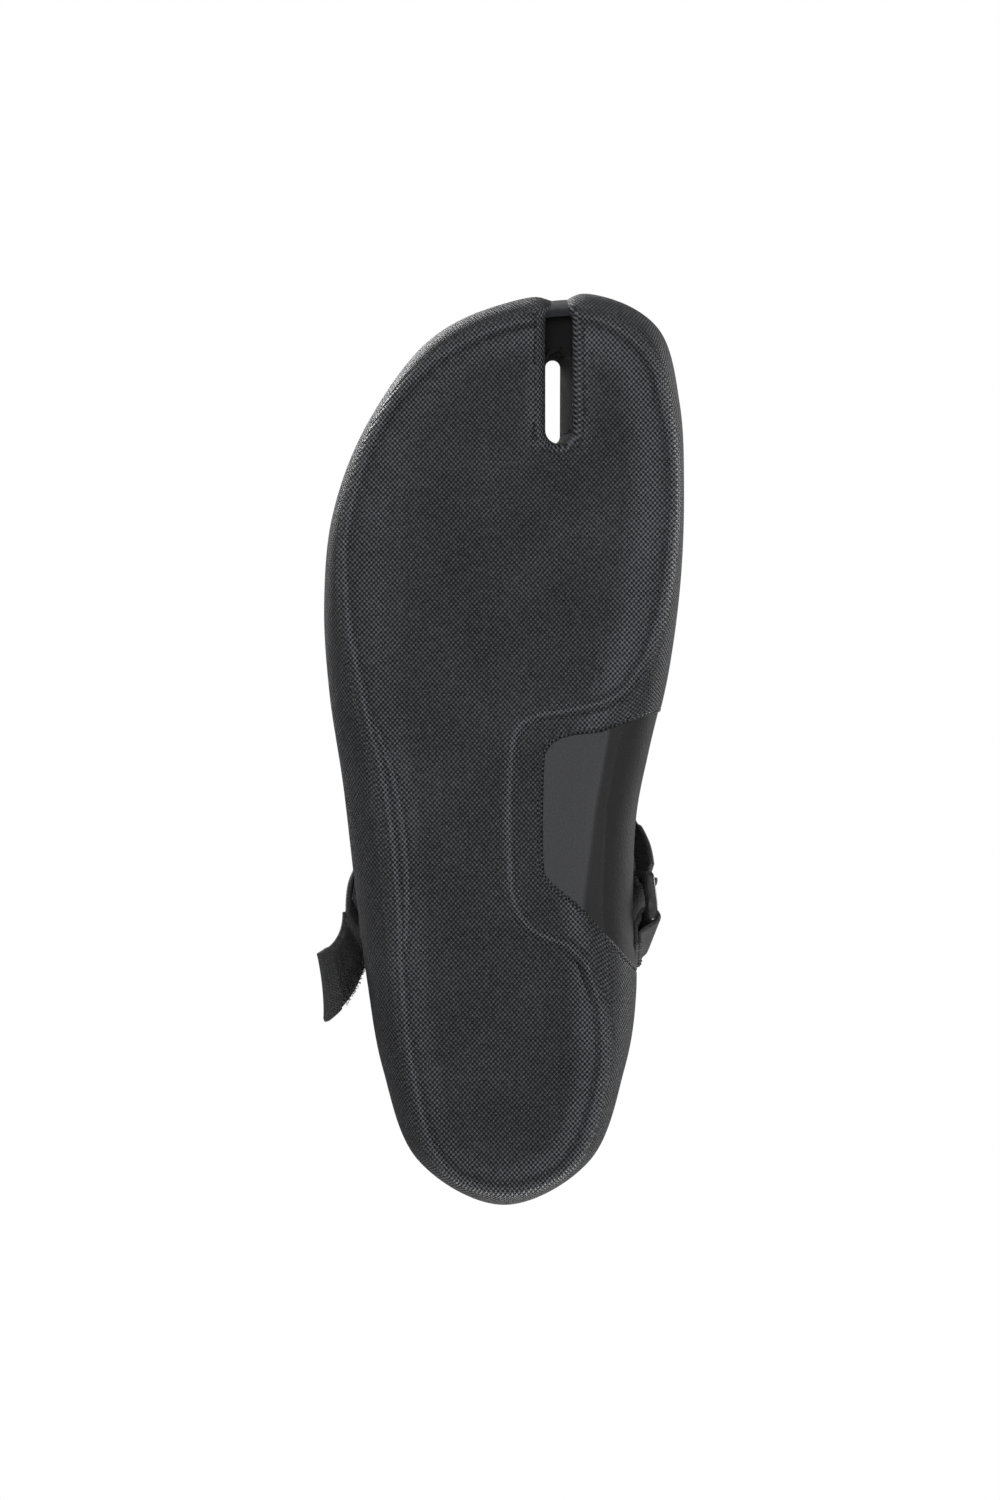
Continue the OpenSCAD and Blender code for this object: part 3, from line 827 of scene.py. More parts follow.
def toe_gusset():
    """Stretch lining of the slot: upright on the small-toe side, leaning on the big-toe side."""
    low = slot_outline(0.3, 0.3, front=RECESS_BACK)
    high = slot_outline(0, 0, front=RECESS_BACK + 1.5, back=SLOT_BACK - 1.5, x0=13, x1=17.6)
    count, bottom = 90, 7.6
    low, high = resample(low, count), resample(high, count)
    outer, inner = [], []
    for f in np.linspace(0, 1, 14):
        path = low * (1 - f) + high * f
        top = 20.4 + (path[:, 1] - RECESS_BACK) * 0.24
        z = bottom + (top - bottom) * f
        pucker = 0.16 * np.sin(np.arange(count) * 0.9 + 5 * f) * math.sin(math.pi * f)
        away = unit(path - path.mean(axis=0))
        inner.append(np.column_stack([path + away * pucker[:, None], z]))
        outer.append(np.column_stack([path + away * (0.9 + pucker[:, None]), z]))
    obj = slab("slot_lining", np.stack(outer, 1), np.stack(inner, 1), wrap=True)
    # the slot's lining takes the jersey darkened as painted shade of the recess
    return finish_piece(obj, "root", SHADED_SLOT_JERSEY, "lining", "toe_gusset")


def toe_bridge():
    """The web of rubber over the blind front of the slot."""
    cols, rows = 15, 22
    outer, inner = [], []
    for x in np.linspace(SLOT_X0 - 0.6, SLOT_X1 + 0.6, cols):
        y = np.linspace(SLOT_FRONT - 0.4, RECESS_BACK + 1.2, rows)
        sag = 1.0 * ((x - SLOT_MID) / 4.8) ** 2
        z = 11.0 - sag + 0.5 * np.sin(np.linspace(0, math.pi, rows))
        outer.append(np.column_stack([np.full(rows, x), y, z]))
        inner.append(np.column_stack([np.full(rows, x), y, z + 1.4]))
    obj = slab("toe_web", np.stack(inner), np.stack(outer))
    # painted shade: the rubber web takes the near-black slot jersey
    return finish_piece(obj, "root", SHADED_SLOT_JERSEY, "rubber_sole", "toe_bridge")


arch_panel()
toe_gusset()
toe_bridge()


# ---------------------------------------------------------------- upper
ROUTE = np.array([(0.153, 0.213), (0.189, 0.337), (0.262, 0.5), (0.344, 0.645), (0.41, 0.709),
                  (0.475, 0.728), (0.54, 0.715), (0.616, 0.653), (0.697, 0.515), (0.784, 0.328),
                  (0.827, 0.185)])
STRAP_W = 25.0
STRAP_T = 1.5
PATCH_T = 0.8
VAMP_TOP, QUARTER_TOP = 0.48, 0.78
SEAM = 0.006
SIDE_SEAM, HEEL_SEAM, INSTEP_SEAM = 0.31, 0.06, 0.40


def route_at(s):
    return along(ROUTE, np.asarray(s, float))


def route_dir(s):
    a, b = route_at(np.asarray(s) + 0.01), route_at(np.asarray(s) - 0.01)
    return unit(skin(a[..., 0], a[..., 1]) - skin(b[..., 0], b[..., 1]))


def shift_uv(u, t, move):
    """The (u, t) reached from a point of the skin by a small move along it, in millimetres."""
    a = (skin(u + 0.002, t) - skin(u - 0.002, t)) / 0.004
    b = (skin(u, t + 0.01) - skin(u, t - 0.01)) / 0.02
    aa, ab, bb = (a * a).sum(-1), (a * b).sum(-1), (b * b).sum(-1)
    ra, rb = (a * move).sum(-1), (b * move).sum(-1)
    det = aa * bb - ab * ab
    return np.stack([u + (ra * bb - rb * ab) / det, t + (rb * aa - ra * ab) / det], -1)


def strap_uv(s, c):
    """The (u, t) that lies c millimetres across the strap's middle line."""
    q = route_at(s)
    u, t = q[..., 0], q[..., 1]
    return shift_uv(u, t, np.cross(outward(u, t), route_dir(s)) * np.asarray(c)[..., None])


def strap_at(s, c, depth):
    s, c, depth = np.broadcast_arrays(np.asarray(s, float), np.asarray(c, float), np.asarray(depth, float))
    q = strap_uv(s, c)
    return below(q[..., 0], q[..., 1], depth)


STRAP_LINE = strap_at(np.linspace(-0.06, 1.08, 60), 0, UPPER_OUT)


def strap_share(points):
    """1 under the strap, falling to 0 a little way off it."""
    flat = points.reshape(-1, 3)
    d = np.full(len(flat), 1e9)
    for p in STRAP_LINE:
        d = np.minimum(d, np.linalg.norm(flat - p, axis=1))
    return smooth((24 - d) / 9).reshape(points.shape[:-1])


def wrinkles(u, t):
    """Soft creases of the neoprene: across the throat, behind the ankle and over the toe joint."""
    lines = 1.15 * np.sin(46 * (t - 0.62) + 1.8 * np.sin(9 * u * math.pi)) * bump(t, 0.68, 0.2)
    lines = lines * (0.35 + 0.65 * bump(u % 1, 0.5, 0.30))
    heel = 0.85 * np.sin(40 * t + 7 * np.cos(2 * np.pi * u)) * bump(t, 0.6, 0.22)
    heel = heel * bump(from_heel(u), 0.06, 0.16)
    ball = 0.55 * np.sin(60 * t + 9 * u) * bump(t, 0.34, 0.14) * bump(u % 1, 0.5, 0.2)
    lump = 0.35 * np.sin(23 * u + 11 * t) * np.sin(17 * t - 13 * u + 1.3) * smooth(t / 0.1)
    return lines + heel + ball + lump


def panel_depths(u, t, edge_fade):
    """Depth of the outer face: creased, and dipped at the panel's own edges."""
    crease = wrinkles(u, t) * (1 - strap_share(below(u, t, UPPER_OUT))) * smooth((1 - t) / 0.08)
    return UPPER_OUT - np.maximum(crease, -0.8) + 0.75 * edge_fade


def fade_at_ends(n, length):
    """1 at both ends of a row of n points of that length in millimetres, 0 inside."""
    x = np.linspace(0, length, n)
    reach = 2.6
    return np.exp(-2 * (np.minimum(x, length - x) / reach) ** 2)


def spread(low, high, n):
    """n parameters from low to high, slightly closer together at the ends."""
    x = np.linspace(0, 1, n)
    return low + (high - low) * (x - 0.08 * np.sin(2 * np.pi * x) / (2 * np.pi))


def panel(name, u0, u1, low, high, cols, rows, material, node_name, wrap=False):
    """One neoprene panel with pillowed edges, and a jersey lining inside."""
    seam_half = 0.0011
    u = np.arange(cols) / cols if wrap else spread(u0 + seam_half, u1 - seam_half, cols)
    u, t = np.meshgrid(u, spread(low, high, rows), indexing="ij")
    mid = skin(u, t)
    length_t = np.linalg.norm(np.diff(mid, axis=1), axis=-1).sum(axis=1).mean()
    length_u = np.linalg.norm(np.diff(mid, axis=0), axis=-1).sum(axis=0).mean()
    fade_u = 0 if wrap else fade_at_ends(cols, length_u)[:, None]
    fade = np.maximum(fade_at_ends(rows, length_t)[None, :], fade_u) + 0 * t
    inner_depth = UPPER_IN - 0.25 * fade - np.minimum(wrinkles(u, t), 0) * 0.5 * (1 - fade)
    obj = slab(name, below(u, t, panel_depths(u, t, fade)), below(u, t, inner_depth), wrap)
    two_faced(obj, cols, rows, wrap, material, LINING)
    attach(obj, "root")
    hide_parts(node_name)
    return obj


def two_faced(obj, cols, rows, wrap, outside, inside):
    """Outer and side faces take one material, and the inner faces another."""
    obj.data.materials.append(outside)
    obj.data.materials.append(inside)
    count = (cols if wrap else cols - 1) * (rows - 1)
    for k in range(count, 2 * count):
        obj.data.polygons[k].material_index = 1


def vamp():
    obj = panel("vamp_cloth", SIDE_SEAM, 1 - SIDE_SEAM, -0.7, VAMP_TOP, 150, 110, KNIT, "vamp")
    through = slot_outline(0, 0, front=RECESS_BACK + 1.2, back=SLOT_BACK - 1.2, x0=12.9, x1=17.7)
    above_sole = 12
    cut(obj, prism(through, above_sole, CUT_HIGH), crossing=True)
    obj.data.shade_smooth()


def quarter(name, u0, u1, v0, v1, node_name):
    """A side panel: the low part behind the vamp, and the part that sweeps forward above it."""
    low = panel(name, u0, u1, -0.92, QUARTER_TOP, 110, 110, KNIT, node_name)
    high = panel(name + "_front", v0, v1, VAMP_TOP + SEAM, QUARTER_TOP, 50, 60, KNIT, node_name)
    join(name, [low, high])


vamp()
panel("instep_cloth", INSTEP_SEAM, 1 - INSTEP_SEAM, VAMP_TOP + SEAM, QUARTER_TOP, 90, 70, KNIT_CUFF,
      "instep_panel")
panel("heel_cloth", -HEEL_SEAM, HEEL_SEAM, -0.92, QUARTER_TOP, 60, 110, KNIT, "heel_panel")
panel("cuff_cloth", 0, 1, QUARTER_TOP + SEAM, 0.968, 220, 44, KNIT_CUFF, "cuff", wrap=True)
quarter("little_toe_side_cloth", HEEL_SEAM, SIDE_SEAM + 0.001, SIDE_SEAM - 0.001, INSTEP_SEAM,
        "lateral_quarter")
quarter("arch_side_cloth", 0.999 - SIDE_SEAM, 1 - HEEL_SEAM, 1 - INSTEP_SEAM, 1.001 - SIDE_SEAM,
        "medial_quarter")


def squared(x):
    """A cosine or sine pushed towards 1 and -1, for a section that is nearly a rectangle."""
    return math.copysign(abs(x) ** 0.6, x)


def rim_binding():
    """Folded binding: a rounded tape over the rim, with a slight pucker at each stitch."""
    cols, sides, stitches = 320, 20, 80
    rim_radius, rise_per_t = 39, 110
    u = np.arange(cols) / cols
    wide = (UPPER_IN - UPPER_OUT) / 2 + 0.55 + 0.12 * np.sin(u * 2 * np.pi * stitches)
    outer = []
    for a in np.linspace(0, 2 * math.pi, sides, endpoint=False):
        t = 0.972 + 0.036 * squared(math.sin(a))
        p = below(u, min(t, 1.0), (UPPER_OUT + UPPER_IN) / 2 - wide * squared(math.cos(a)))
        p[:, 2] += max(t - 1.0, 0) * rise_per_t
        outer.append(p)
    grid = np.stack(outer, axis=1)
    uv = np.stack(np.meshgrid(u * 2 * math.pi * rim_radius, np.arange(sides) * 0.55, indexing="ij"), -1)
    obj = mesh_object("rim_tape", grid.reshape(-1, 3), loop_faces(cols, sides), uv.reshape(-1, 2))
    weld(obj, 0)
    return finish_piece(obj, "root", BINDING, "binding", "cuff_binding")


rim_binding()


def inner_tape(name, u, high, node_name):
    """Jersey tape glued over the inside of a seam."""
    cols, rows, half = 12, 90, 0.008
    uu, t = np.meshgrid(np.linspace(u - half, u + half, cols), np.linspace(-0.2, high, rows), indexing="ij")
    crown = 0.25 * np.cos(np.linspace(-1.4, 1.4, cols))[:, None]
    obj = slab(name, below(uu, t, UPPER_IN + 0.12), below(uu, t, UPPER_IN + 0.45 + crown + 0 * t))
    return finish_piece(obj, "root", LINING, "lining", node_name)


inner_tape("tape_little_toe_side", SIDE_SEAM, VAMP_TOP - 0.02, "lateral_seam_tape")
inner_tape("tape_arch_side", 1 - SIDE_SEAM, VAMP_TOP - 0.02, "medial_seam_tape")
inner_tape("tape_heel_left", HEEL_SEAM, QUARTER_TOP - 0.02, "heel_seam_tape_left")
inner_tape("tape_heel_right", -HEEL_SEAM, QUARTER_TOP - 0.02, "heel_seam_tape_right")


def insole():
    """Footbed: a dished heel, a raised arch edge and rounded borders."""
    cols = 240
    edge = round_trip(TREAD_EDGE, np.arange(cols) / cols)
    spine = tread_spine(edge)
    low, high = 5.6, 9.0
    rows = []
    for r in np.linspace(0, 0.97, 26):
        p = flat_row(spine, edge, r, high)
        p[:, 2] += 1.5 * smooth((r - 0.72) / 0.26) * (1 - 0.7 * smooth((-p[:, 1] - 60) / 30))
        rows.append(p)
    border = ((0.985, high + 1.0), (0.99, high - 1), (0.985, low + 0.5), (0.96, low))
    rows += [flat_row(spine, edge, r, z) for r, z in border + ((0.8, low), (0.4, low), (0.0, low))]
    grid = np.stack(rows, 1)
    faces = grid_faces(cols, len(rows), wrap=True, flip=True)
    obj = mesh_object("footbed", grid.reshape(-1, 3), faces, grid[..., :2].reshape(-1, 2))
    weld(obj, 0.02)
    cut(obj, prism(slot_outline(2.6, 9, back=SLOT_BACK + 0.5), CUT_LOW, CUT_HIGH))
    finish_piece(obj, "root", FOAM, "foam", "insole")


insole()
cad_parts["bottom_sock"].data.materials.clear()
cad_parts["bottom_sock"].data.materials.append(FOAM)


# ---------------------------------------------------------------- strap
PATCH_OUT = UPPER_OUT - 1.35
BASE_OUT = PATCH_OUT - GAP - STRAP_T
LOOP_OUT = BASE_OUT - GAP - PATCH_T
HOOK_OUT = LOOP_OUT - GAP - PATCH_T
FLAP_OUT = HOOK_OUT - GAP - STRAP_T
BAR_R, BAR_PITCH = 2.0, 13.0
RING_OUT = BASE_OUT - GAP - BAR_R
WRAP_R = BAR_R + GAP
TAIL_LEN, HEM_LEN = 29.0, 6.0
PEEL_S = 0.475
ONE = np.array(1.0)
RING_Q = route_at(ONE)
RING_N = outward(RING_Q[0], RING_Q[1])
RING_X = unit(np.cross(route_dir(ONE), RING_N))
RING_Y = np.cross(RING_N, RING_X)
RING_O = skin(RING_Q[0], RING_Q[1]) - RING_N * RING_OUT


def in_ring(x, y, z):
    """Points from the ring's own frame: x across the strap, y along it, z away from the boot."""
    x, y, z = np.broadcast_arrays(np.asarray(x, float), np.asarray(y, float), np.asarray(z, float))
    return RING_O + x[..., None] * RING_X + y[..., None] * RING_Y + z[..., None] * RING_N


def selvedge(half, count=27):
    """Positions across a webbing, and how thick it is there: rounded edges with a bead just inside."""
    c = half * np.sin(np.linspace(-math.pi / 2, math.pi / 2, count))
    edge = half - np.abs(c)
    thick = np.sqrt(np.clip(1 - (1 - np.clip(edge / 0.75, 0, 1)) ** 2, 0.03, 1))
    return c, thick * (1 + 0.10 * np.exp(-(((edge - 0.9) / 0.5) ** 2)))


def end_share(distance, reach=0.5):
    """Rounds off a cut end, from a distance to it in millimetres."""
    return np.sqrt(np.clip(1 - (1 - np.clip(distance / reach, 0, 1)) ** 2, 0.05, 1))


def end_cap(run, ends, reach=0.5):
    """Share of the thickness along a webbing, whose cut ends are rounded where ends says so."""
    cap = np.ones(len(run))
    if ends[0]:
        cap = np.minimum(cap, end_share(run - run[0], reach))
    if ends[1]:
        cap = np.minimum(cap, end_share(run[-1] - run, reach))
    return cap[:, None]


def strap_slab(name, s0, s1, steps, half, d_out, thick, ends=(True, True)):
    """A strap layer over the instep, from outer depth d_out (a number or one a row)."""
    s = np.linspace(s0, s1, steps)
    c, share = selvedge(half)
    length = run_along(strap_at(s, 0, 0))[-1]
    half_t = thick / 2 * share * end_cap(np.linspace(0, length, steps), ends)
    middle = (d_out + thick / 2 + 0 * s)[:, None]
    return slab(name, strap_at(s[:, None], c, middle - half_t), strap_at(s[:, None], c, middle + half_t))


def dashes(points, normals, pitch=3.1):
    """Stitches along a path: each rises out of the cloth and goes back in."""
    gap, lift, sink = 0.75, 0.14, 0.4
    run = run_along(points)
    count = max(1, int(run[-1] / pitch))
    step = run[-1] / count
    paths = []
    for k in range(count):
        d = k * step + np.linspace(gap / 2, step - gap / 2, 6)
        p = np.stack([np.interp(d, run, points[:, i]) for i in range(3)], -1)
        n = np.stack([np.interp(d, run, normals[:, i]) for i in range(3)], -1)
        height = np.array([-sink, lift * 0.6, lift, lift, lift * 0.6, -sink])
        paths.append(p + n * height[:, None])
    return paths


def stitches(name, lines, body, slot, pitch=3.1, radius=0.24):
    """Stitches along several lines, each given as its points and its normals."""
    threads = tube(name, [d for p, n in lines for d in dashes(p, n, pitch)], radius)
    return finish_piece(threads, body, THREAD, slot)


def strap_line(s0, c0, s1, c1, depth, count=60):
    """A straight line on a strap's face, with its normals."""
    s, c = np.linspace(s0, s1, count), np.linspace(c0, c1, count)
    q = strap_uv(s, c)
    return below(q[:, 0], q[:, 1], depth(s) if callable(depth) else depth), outward(q[:, 0], q[:, 1])


def boxed_cross(s0, s1, half, depth):
    """The lines of a box stitch with its cross."""
    corners = [(s0, -half), (s1, -half), (s1, half), (s0, half), (s0, -half)]
    lines = [strap_line(*a, *b, depth) for a, b in zip(corners, corners[1:])]
    return lines + [strap_line(s0, -half, s1, half, depth), strap_line(s0, half, s1, -half, depth)]


def flap_depth(s):
    """Outer depth of the upper layer: over the patches, down on to the base layer, up to the ring's bar."""
    low = FLAP_OUT + (BASE_OUT - GAP - STRAP_T - FLAP_OUT) * smooth((s - 0.49) / 0.14)
    bar = RING_OUT - WRAP_R - STRAP_T
    return low + (bar - low) * bump(np.minimum(s, 0.94), 0.94, 0.24)


def bend(obj, start, end):
    """Bakes a piece's transform into its mesh; start and end are not used."""
    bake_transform(obj)


def strap_pieces():
    half, open_ends = STRAP_W / 2, (False, False)
    patch = strap_slab("strap_patch_cloth", -0.01, 0.16, 60, half + 1.5, PATCH_OUT, PATCH_T)
    finish_piece(patch, "root", WEBBING, "webbing", "strap_patch")
    base = strap_slab("strap_base_web", -0.03, 0.985, 260, half, BASE_OUT, STRAP_T, ends=(True, False))
    finish_piece(base, "root", WEBBING, "webbing", "strap_base")
    loop = strap_slab("loop_field", 0.02, 0.45, 120, half - 1, LOOP_OUT, PATCH_T)
    finish_piece(loop, "root", LOOP, "loop_pile", "loop_patch")
    hook = strap_slab("hook_field", 0.02, 0.30, 90, half - 1, HOOK_OUT, PATCH_T)
    finish_piece(hook, "flap", HOOK, "hook_tape", "hook_patch")
    depths = flap_depth(np.linspace(0, 0.975, 260))
    flap = strap_slab("strap_flap_web", 0, 0.975, 260, half, depths, STRAP_T, open_ends)
    finish_piece(flap, None, WEBBING, "webbing", "strap_flap", "strap_return")
    strap_turn()
    stitch_c = half - 2.1
    lines = [strap_line(0.0, side, 0.97, side, flap_depth, 200) for side in (-stitch_c, stitch_c)]
    lines += boxed_cross(0.03, 0.12, stitch_c, flap_depth) + boxed_cross(0.24, 0.30, stitch_c, flap_depth)[:5]
    thread = stitches("flap_stitches", lines, None, "webbing")
    peel_from, peel_to = strap_at(PEEL_S + 0.022, 0, FLAP_OUT), strap_at(PEEL_S - 0.022, 0, FLAP_OUT)
    for piece in (flap, thread):
        bend(piece, peel_from, peel_to)
    lines = [strap_line(0.002, side, 0.148, side, PATCH_OUT) for side in (-half - 0.4, half + 0.4)]
    stitches("patch_stitches", lines, "root", "webbing", radius=0.22)


def strap_turn():
    """The strap's turn round the ring's upper bar, from the base layer to the flap."""
    c, share = selvedge(STRAP_W / 2)
    middle, half_t = WRAP_R + STRAP_T / 2, STRAP_T / 2 * share
    angles = np.radians(np.linspace(192, -4, 44))[:, None]
    faces = [in_ring(-c, r * np.sin(angles), r * np.cos(angles)) for r in (middle + half_t, middle - half_t)]
    return finish_piece(slab("strap_turn_web", *faces), "root", WEBBING, "webbing")


strap_pieces()


# ---------------------------------------------------------------- free tail of the strap
TAIL_DIR = unit(np.array([-18.0, 12, -20]))
TAIL_ACROSS = unit(np.array([0.06, 0.85, 0.46]))
ZERO = np.array(0.0)
ROOT_DIR = -route_dir(ZERO)
TAIL_O = strap_at(ZERO, ZERO, FLAP_OUT + STRAP_T / 2)
ROOT_ACROSS = unit(strap_at(ZERO, ONE, FLAP_OUT) - strap_at(ZERO, -ONE, FLAP_OUT))


def tail_at(d, c, h):
    """d along the tail, c across it, h away from its middle, on the side that faces out."""
    d, c, h = np.broadcast_arrays(np.asarray(d, float), np.asarray(c, float), np.asarray(h, float))
    f = (d / TAIL_LEN)[..., None]
    a = unit(TAIL_DIR * f + ROOT_DIR * (1 - f))
    w = unit(ROOT_ACROSS * (1 - f) + TAIL_ACROSS * f)
    middle = TAIL_LEN * (TAIL_DIR * f * f / 2 + ROOT_DIR * (f - f * f / 2))
    n = unit(np.cross(w, a))
    return TAIL_O + middle + w * c[..., None] + n * h[..., None], n


def tail_curl(d, c):
    """How far the tail's edges curl outward, more towards its end."""
    return 0.9 * (d / TAIL_LEN) ** 2 * (c / (STRAP_W / 2)) ** 2


def tail_slab(name, d0, d1, steps, half, thick, ends=(True, True)):
    d = np.linspace(d0, d1, steps)[:, None]
    c, share = selvedge(half)
    half_t = thick / 2 * share * end_cap(d[:, 0], ends, 0.9)
    lift = tail_curl(d, c)
    return slab(name, tail_at(d, c, lift - half_t)[0], tail_at(d, c, lift + half_t)[0])


def pile_fibres(count, d0, d1, half, foot, reach):
    """Short bent loops of pile, standing off the tail's inner face and its edges."""
    rng = np.random.default_rng(7)
    steps = np.linspace(0, 1, 5)
    paths = []
    for _ in range(count):
        d, c = rng.uniform(d0, d1), rng.uniform(-half, half)
        lean = rng.normal(0, 0.45, 2)
        height = foot - reach * rng.uniform(0.5, 1.0) * np.sin(steps * 2.4)
        paths.append(tail_at(d + lean[0] * steps, c + lean[1] * steps + 0.25 * np.sin(steps * 6), height)[0])
    return paths


def tail_pieces():
    rows, hem_from, hem_t = 70, TAIL_LEN - HEM_LEN, STRAP_T + 1
    web = tail_slab("strap_tail_web", -0.4, hem_from, rows, STRAP_W / 2, STRAP_T, ends=(False, False))
    two_faced(web, rows, len(selvedge(STRAP_W / 2)[0]), False, LOOP, WEBBING)
    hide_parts("strap_tail")
    bend(web, tail_at(0.4, 0, 0)[0], tail_at(5.0, 0, 0)[0])
    hem = tail_slab("tail_hem_web", hem_from - 0.8, TAIL_LEN, 30, STRAP_W / 2 + 0.15, hem_t)
    finish_piece(hem, "tail", HEM, "webbing", "tail_hem")
    fibres = pile_fibres(1500, 5.5, hem_from - 1, STRAP_W / 2 - 0.6, -STRAP_T / 2 + 0.1, 1.0)
    finish_piece(tube("tail_pile", fibres, 0.075, sides=3), "tail", LOOP, "webbing")
    c = np.linspace(-STRAP_W / 2 + 1.2, STRAP_W / 2 - 1.2, 50)
    lines = []
    for d in (hem_from + 0.5, TAIL_LEN - 1.6):
        for side in (-1, 1):
            p, n = tail_at(d, c, tail_curl(d, c) + side * (hem_t / 2 + 0.02))
            lines.append((p, n * side))
    stitches("hem_stitches", lines, "tail", "webbing", pitch=2.6)


tail_pieces()


# ---------------------------------------------------------------- ring and its anchor
def ring_loop():
    """Moulded rectangular loop with round corners."""
    half, corner = STRAP_W / 2 + BAR_R + 1.2, 3.2
    path = []
    for cx, cy, start in ((half - corner, BAR_PITCH - corner, 0), (corner - half, BAR_PITCH - corner, 90),
                          (corner - half, corner, 180), (half - corner, corner, 270)):
        for a in np.radians(start + np.linspace(0, 90, 12)):
            path.append((cx + corner * math.cos(a), cy + corner * math.sin(a)))
    full = fill_in(np.array(path), 0.8)
    step = unit(np.roll(full, -1, 0) - np.roll(full, 1, 0))
    side = np.stack([step[:, 1], -step[:, 0]], -1)
    rows = []
    for a in np.linspace(0, 2 * math.pi, 20, endpoint=False):
        # A rounded square section, as moulded loops have
        r = BAR_R / (abs(math.cos(a)) ** 3 + abs(math.sin(a)) ** 3) ** (1 / 3)
        q = full + side * (r * math.cos(a))
        rows.append(in_ring(q[:, 0], q[:, 1], r * 0.94 * math.sin(a)))
    grid = np.stack(rows, 1)
    obj = mesh_object("ring_loop", grid.reshape(-1, 3), loop_faces(*grid.shape[:2]))
    weld(obj, 0)
    return finish_piece(obj, "root", PLASTIC, "hard_plastic", "ring")


def side_of_boot():
    """A search tree of the arch side's surface."""
    points, faces = [], []
    for name in ("arch_side_cloth", "outsole_rubber", "arch_skin"):
        data = bpy.data.objects[name].data
        start = len(points)
        points += [v.co.copy() for v in data.vertices]
        faces += [tuple(start + k for k in p.vertices) for p in data.polygons]
    return BVHTree.FromPolygons(points, faces)


def anchor_pieces():
    """The webbing tab: off the boot's side, round the ring's lower bar, and back to the side."""
    tree = side_of_boot()
    above = 12

    def wall(x, y):
        """Height of the boot's side in the ring's frame."""
        hit = tree.ray_cast(Vector(in_ring(x, y, above) * MM), Vector(-RING_N))
        return above - hit[3] / MM if hit[0] is not None else -5.0

    c, share = selvedge(STRAP_W / 2 - 1, 21)
    thick, under, over = 1.3, 0.75, 2.1
    reach = BAR_PITCH + WRAP_R + STRAP_T + 6
    over_to = BAR_PITCH + 6.4
    radius = WRAP_R + thick / 2 + 0.1
    middle = [[(x, y, wall(x, y) + under) for x in -c] for y in np.linspace(reach, BAR_PITCH + 2.2, 16)]
    for a in np.radians(np.linspace(170, 360, 26)):
        middle.append([(x, BAR_PITCH + radius * math.sin(a), radius * math.cos(a)) for x in -c])
    landing = np.array([wall(x, over_to) + over for x in -c])
    for f in np.linspace(0.12, 1, 16):
        y = BAR_PITCH + (over_to - BAR_PITCH) * f
        middle.append([(x, y, z) for x, z in zip(-c, radius + (landing - radius) * smooth(f))])
    for y in np.linspace(over_to + 0.5, reach - 0.8, 8):
        middle.append([(x, y, wall(x, y) + over) for x in -c])
    middle = np.array(middle)
    step = np.gradient(middle, axis=0)
    normal = unit(np.stack([np.zeros(step.shape[:2]), step[..., 2], -step[..., 1]], -1))
    half_t = thick / 2 * share[None, :, None]
    faces = [in_ring(*np.moveaxis(middle + sign * normal * half_t, -1, 0)) for sign in (1, -1)]
    obj = slab("ring_anchor_web", *faces)
    weld(obj, 0)
    finish_piece(obj, "root", WEBBING, "webbing", "ring_anchor")
    x = np.linspace(-STRAP_W / 2 + 2.2, STRAP_W / 2 - 2.2, 50)
    lines = []
    for y in (over_to + 0.6, reach - 1.6):
        z = np.array([wall(a, y) + over + thick / 2 for a in x])
        lines.append((in_ring(x, y, z), np.broadcast_to(RING_N, (50, 3))))
    stitches("anchor_stitches", lines, "root", "webbing", pitch=2.4)


def anchor_patch():
    """The patch sewn flat on the side of the boot, with its stitches."""
    u0, u1, t0, t1 = 0.822, 0.886, 0.075, 0.225
    depth = PATCH_OUT + 0.1
    cols, rows = 60, 50
    u, t = np.meshgrid(np.linspace(u0, u1, cols), np.linspace(t0, t1, rows), indexing="ij")
    p = skin(u, t)
    along_u = np.linalg.norm(p[-1] - p[0], axis=-1).mean()
    along_t = np.linalg.norm(p[:, -1] - p[:, 0], axis=-1).mean()
    cap_u = end_cap(np.linspace(0, along_u, cols), (True, True), 0.8)
    cap_t = end_cap(np.linspace(0, along_t, rows), (True, True), 0.8)
    share = np.minimum(cap_u, cap_t.T) * PATCH_T / 2
    middle = depth + PATCH_T / 2
    obj = slab("anchor_patch_cloth", below(u, t, middle - share), below(u, t, middle + share))
    finish_piece(obj, "root", WEBBING, "webbing", "anchor_patch")
    inset = 1.8
    du, dt = inset / along_u * (u1 - u0), inset / along_t * (t1 - t0)
    a, b, c, d = u0 + du, u1 - du, t0 + dt, t1 - dt
    corners = [(a, c), (b, c), (b, d), (a, d), (a, c)]
    lines = []
    for (ua, ta), (ub, tb) in zip(corners, corners[1:]):
        uu, tt = np.linspace(ua, ub, 40), np.linspace(ta, tb, 40)
        lines.append((below(uu, tt, depth), outward(uu, tt)))
    stitches("anchor_patch_cloth_stitches", lines, "root", "webbing", radius=0.22)


ring_loop()
anchor_pieces()
anchor_patch()


# ---------------------------------------------------------------- heel pull loop
TAB_W, TAB_T = 18.0, 1.4
TAB_FOOT, TAB_EYE = 98.0, 108.0
HEEL_LINE = below(np.zeros(60), np.linspace(0.5, 1.0, 60), UPPER_OUT)


def heel_y(z):
    """Where the neoprene's outer face is at the back of the heel, at height z."""
    return np.interp(z, HEEL_LINE[:, 2], HEEL_LINE[:, 1])


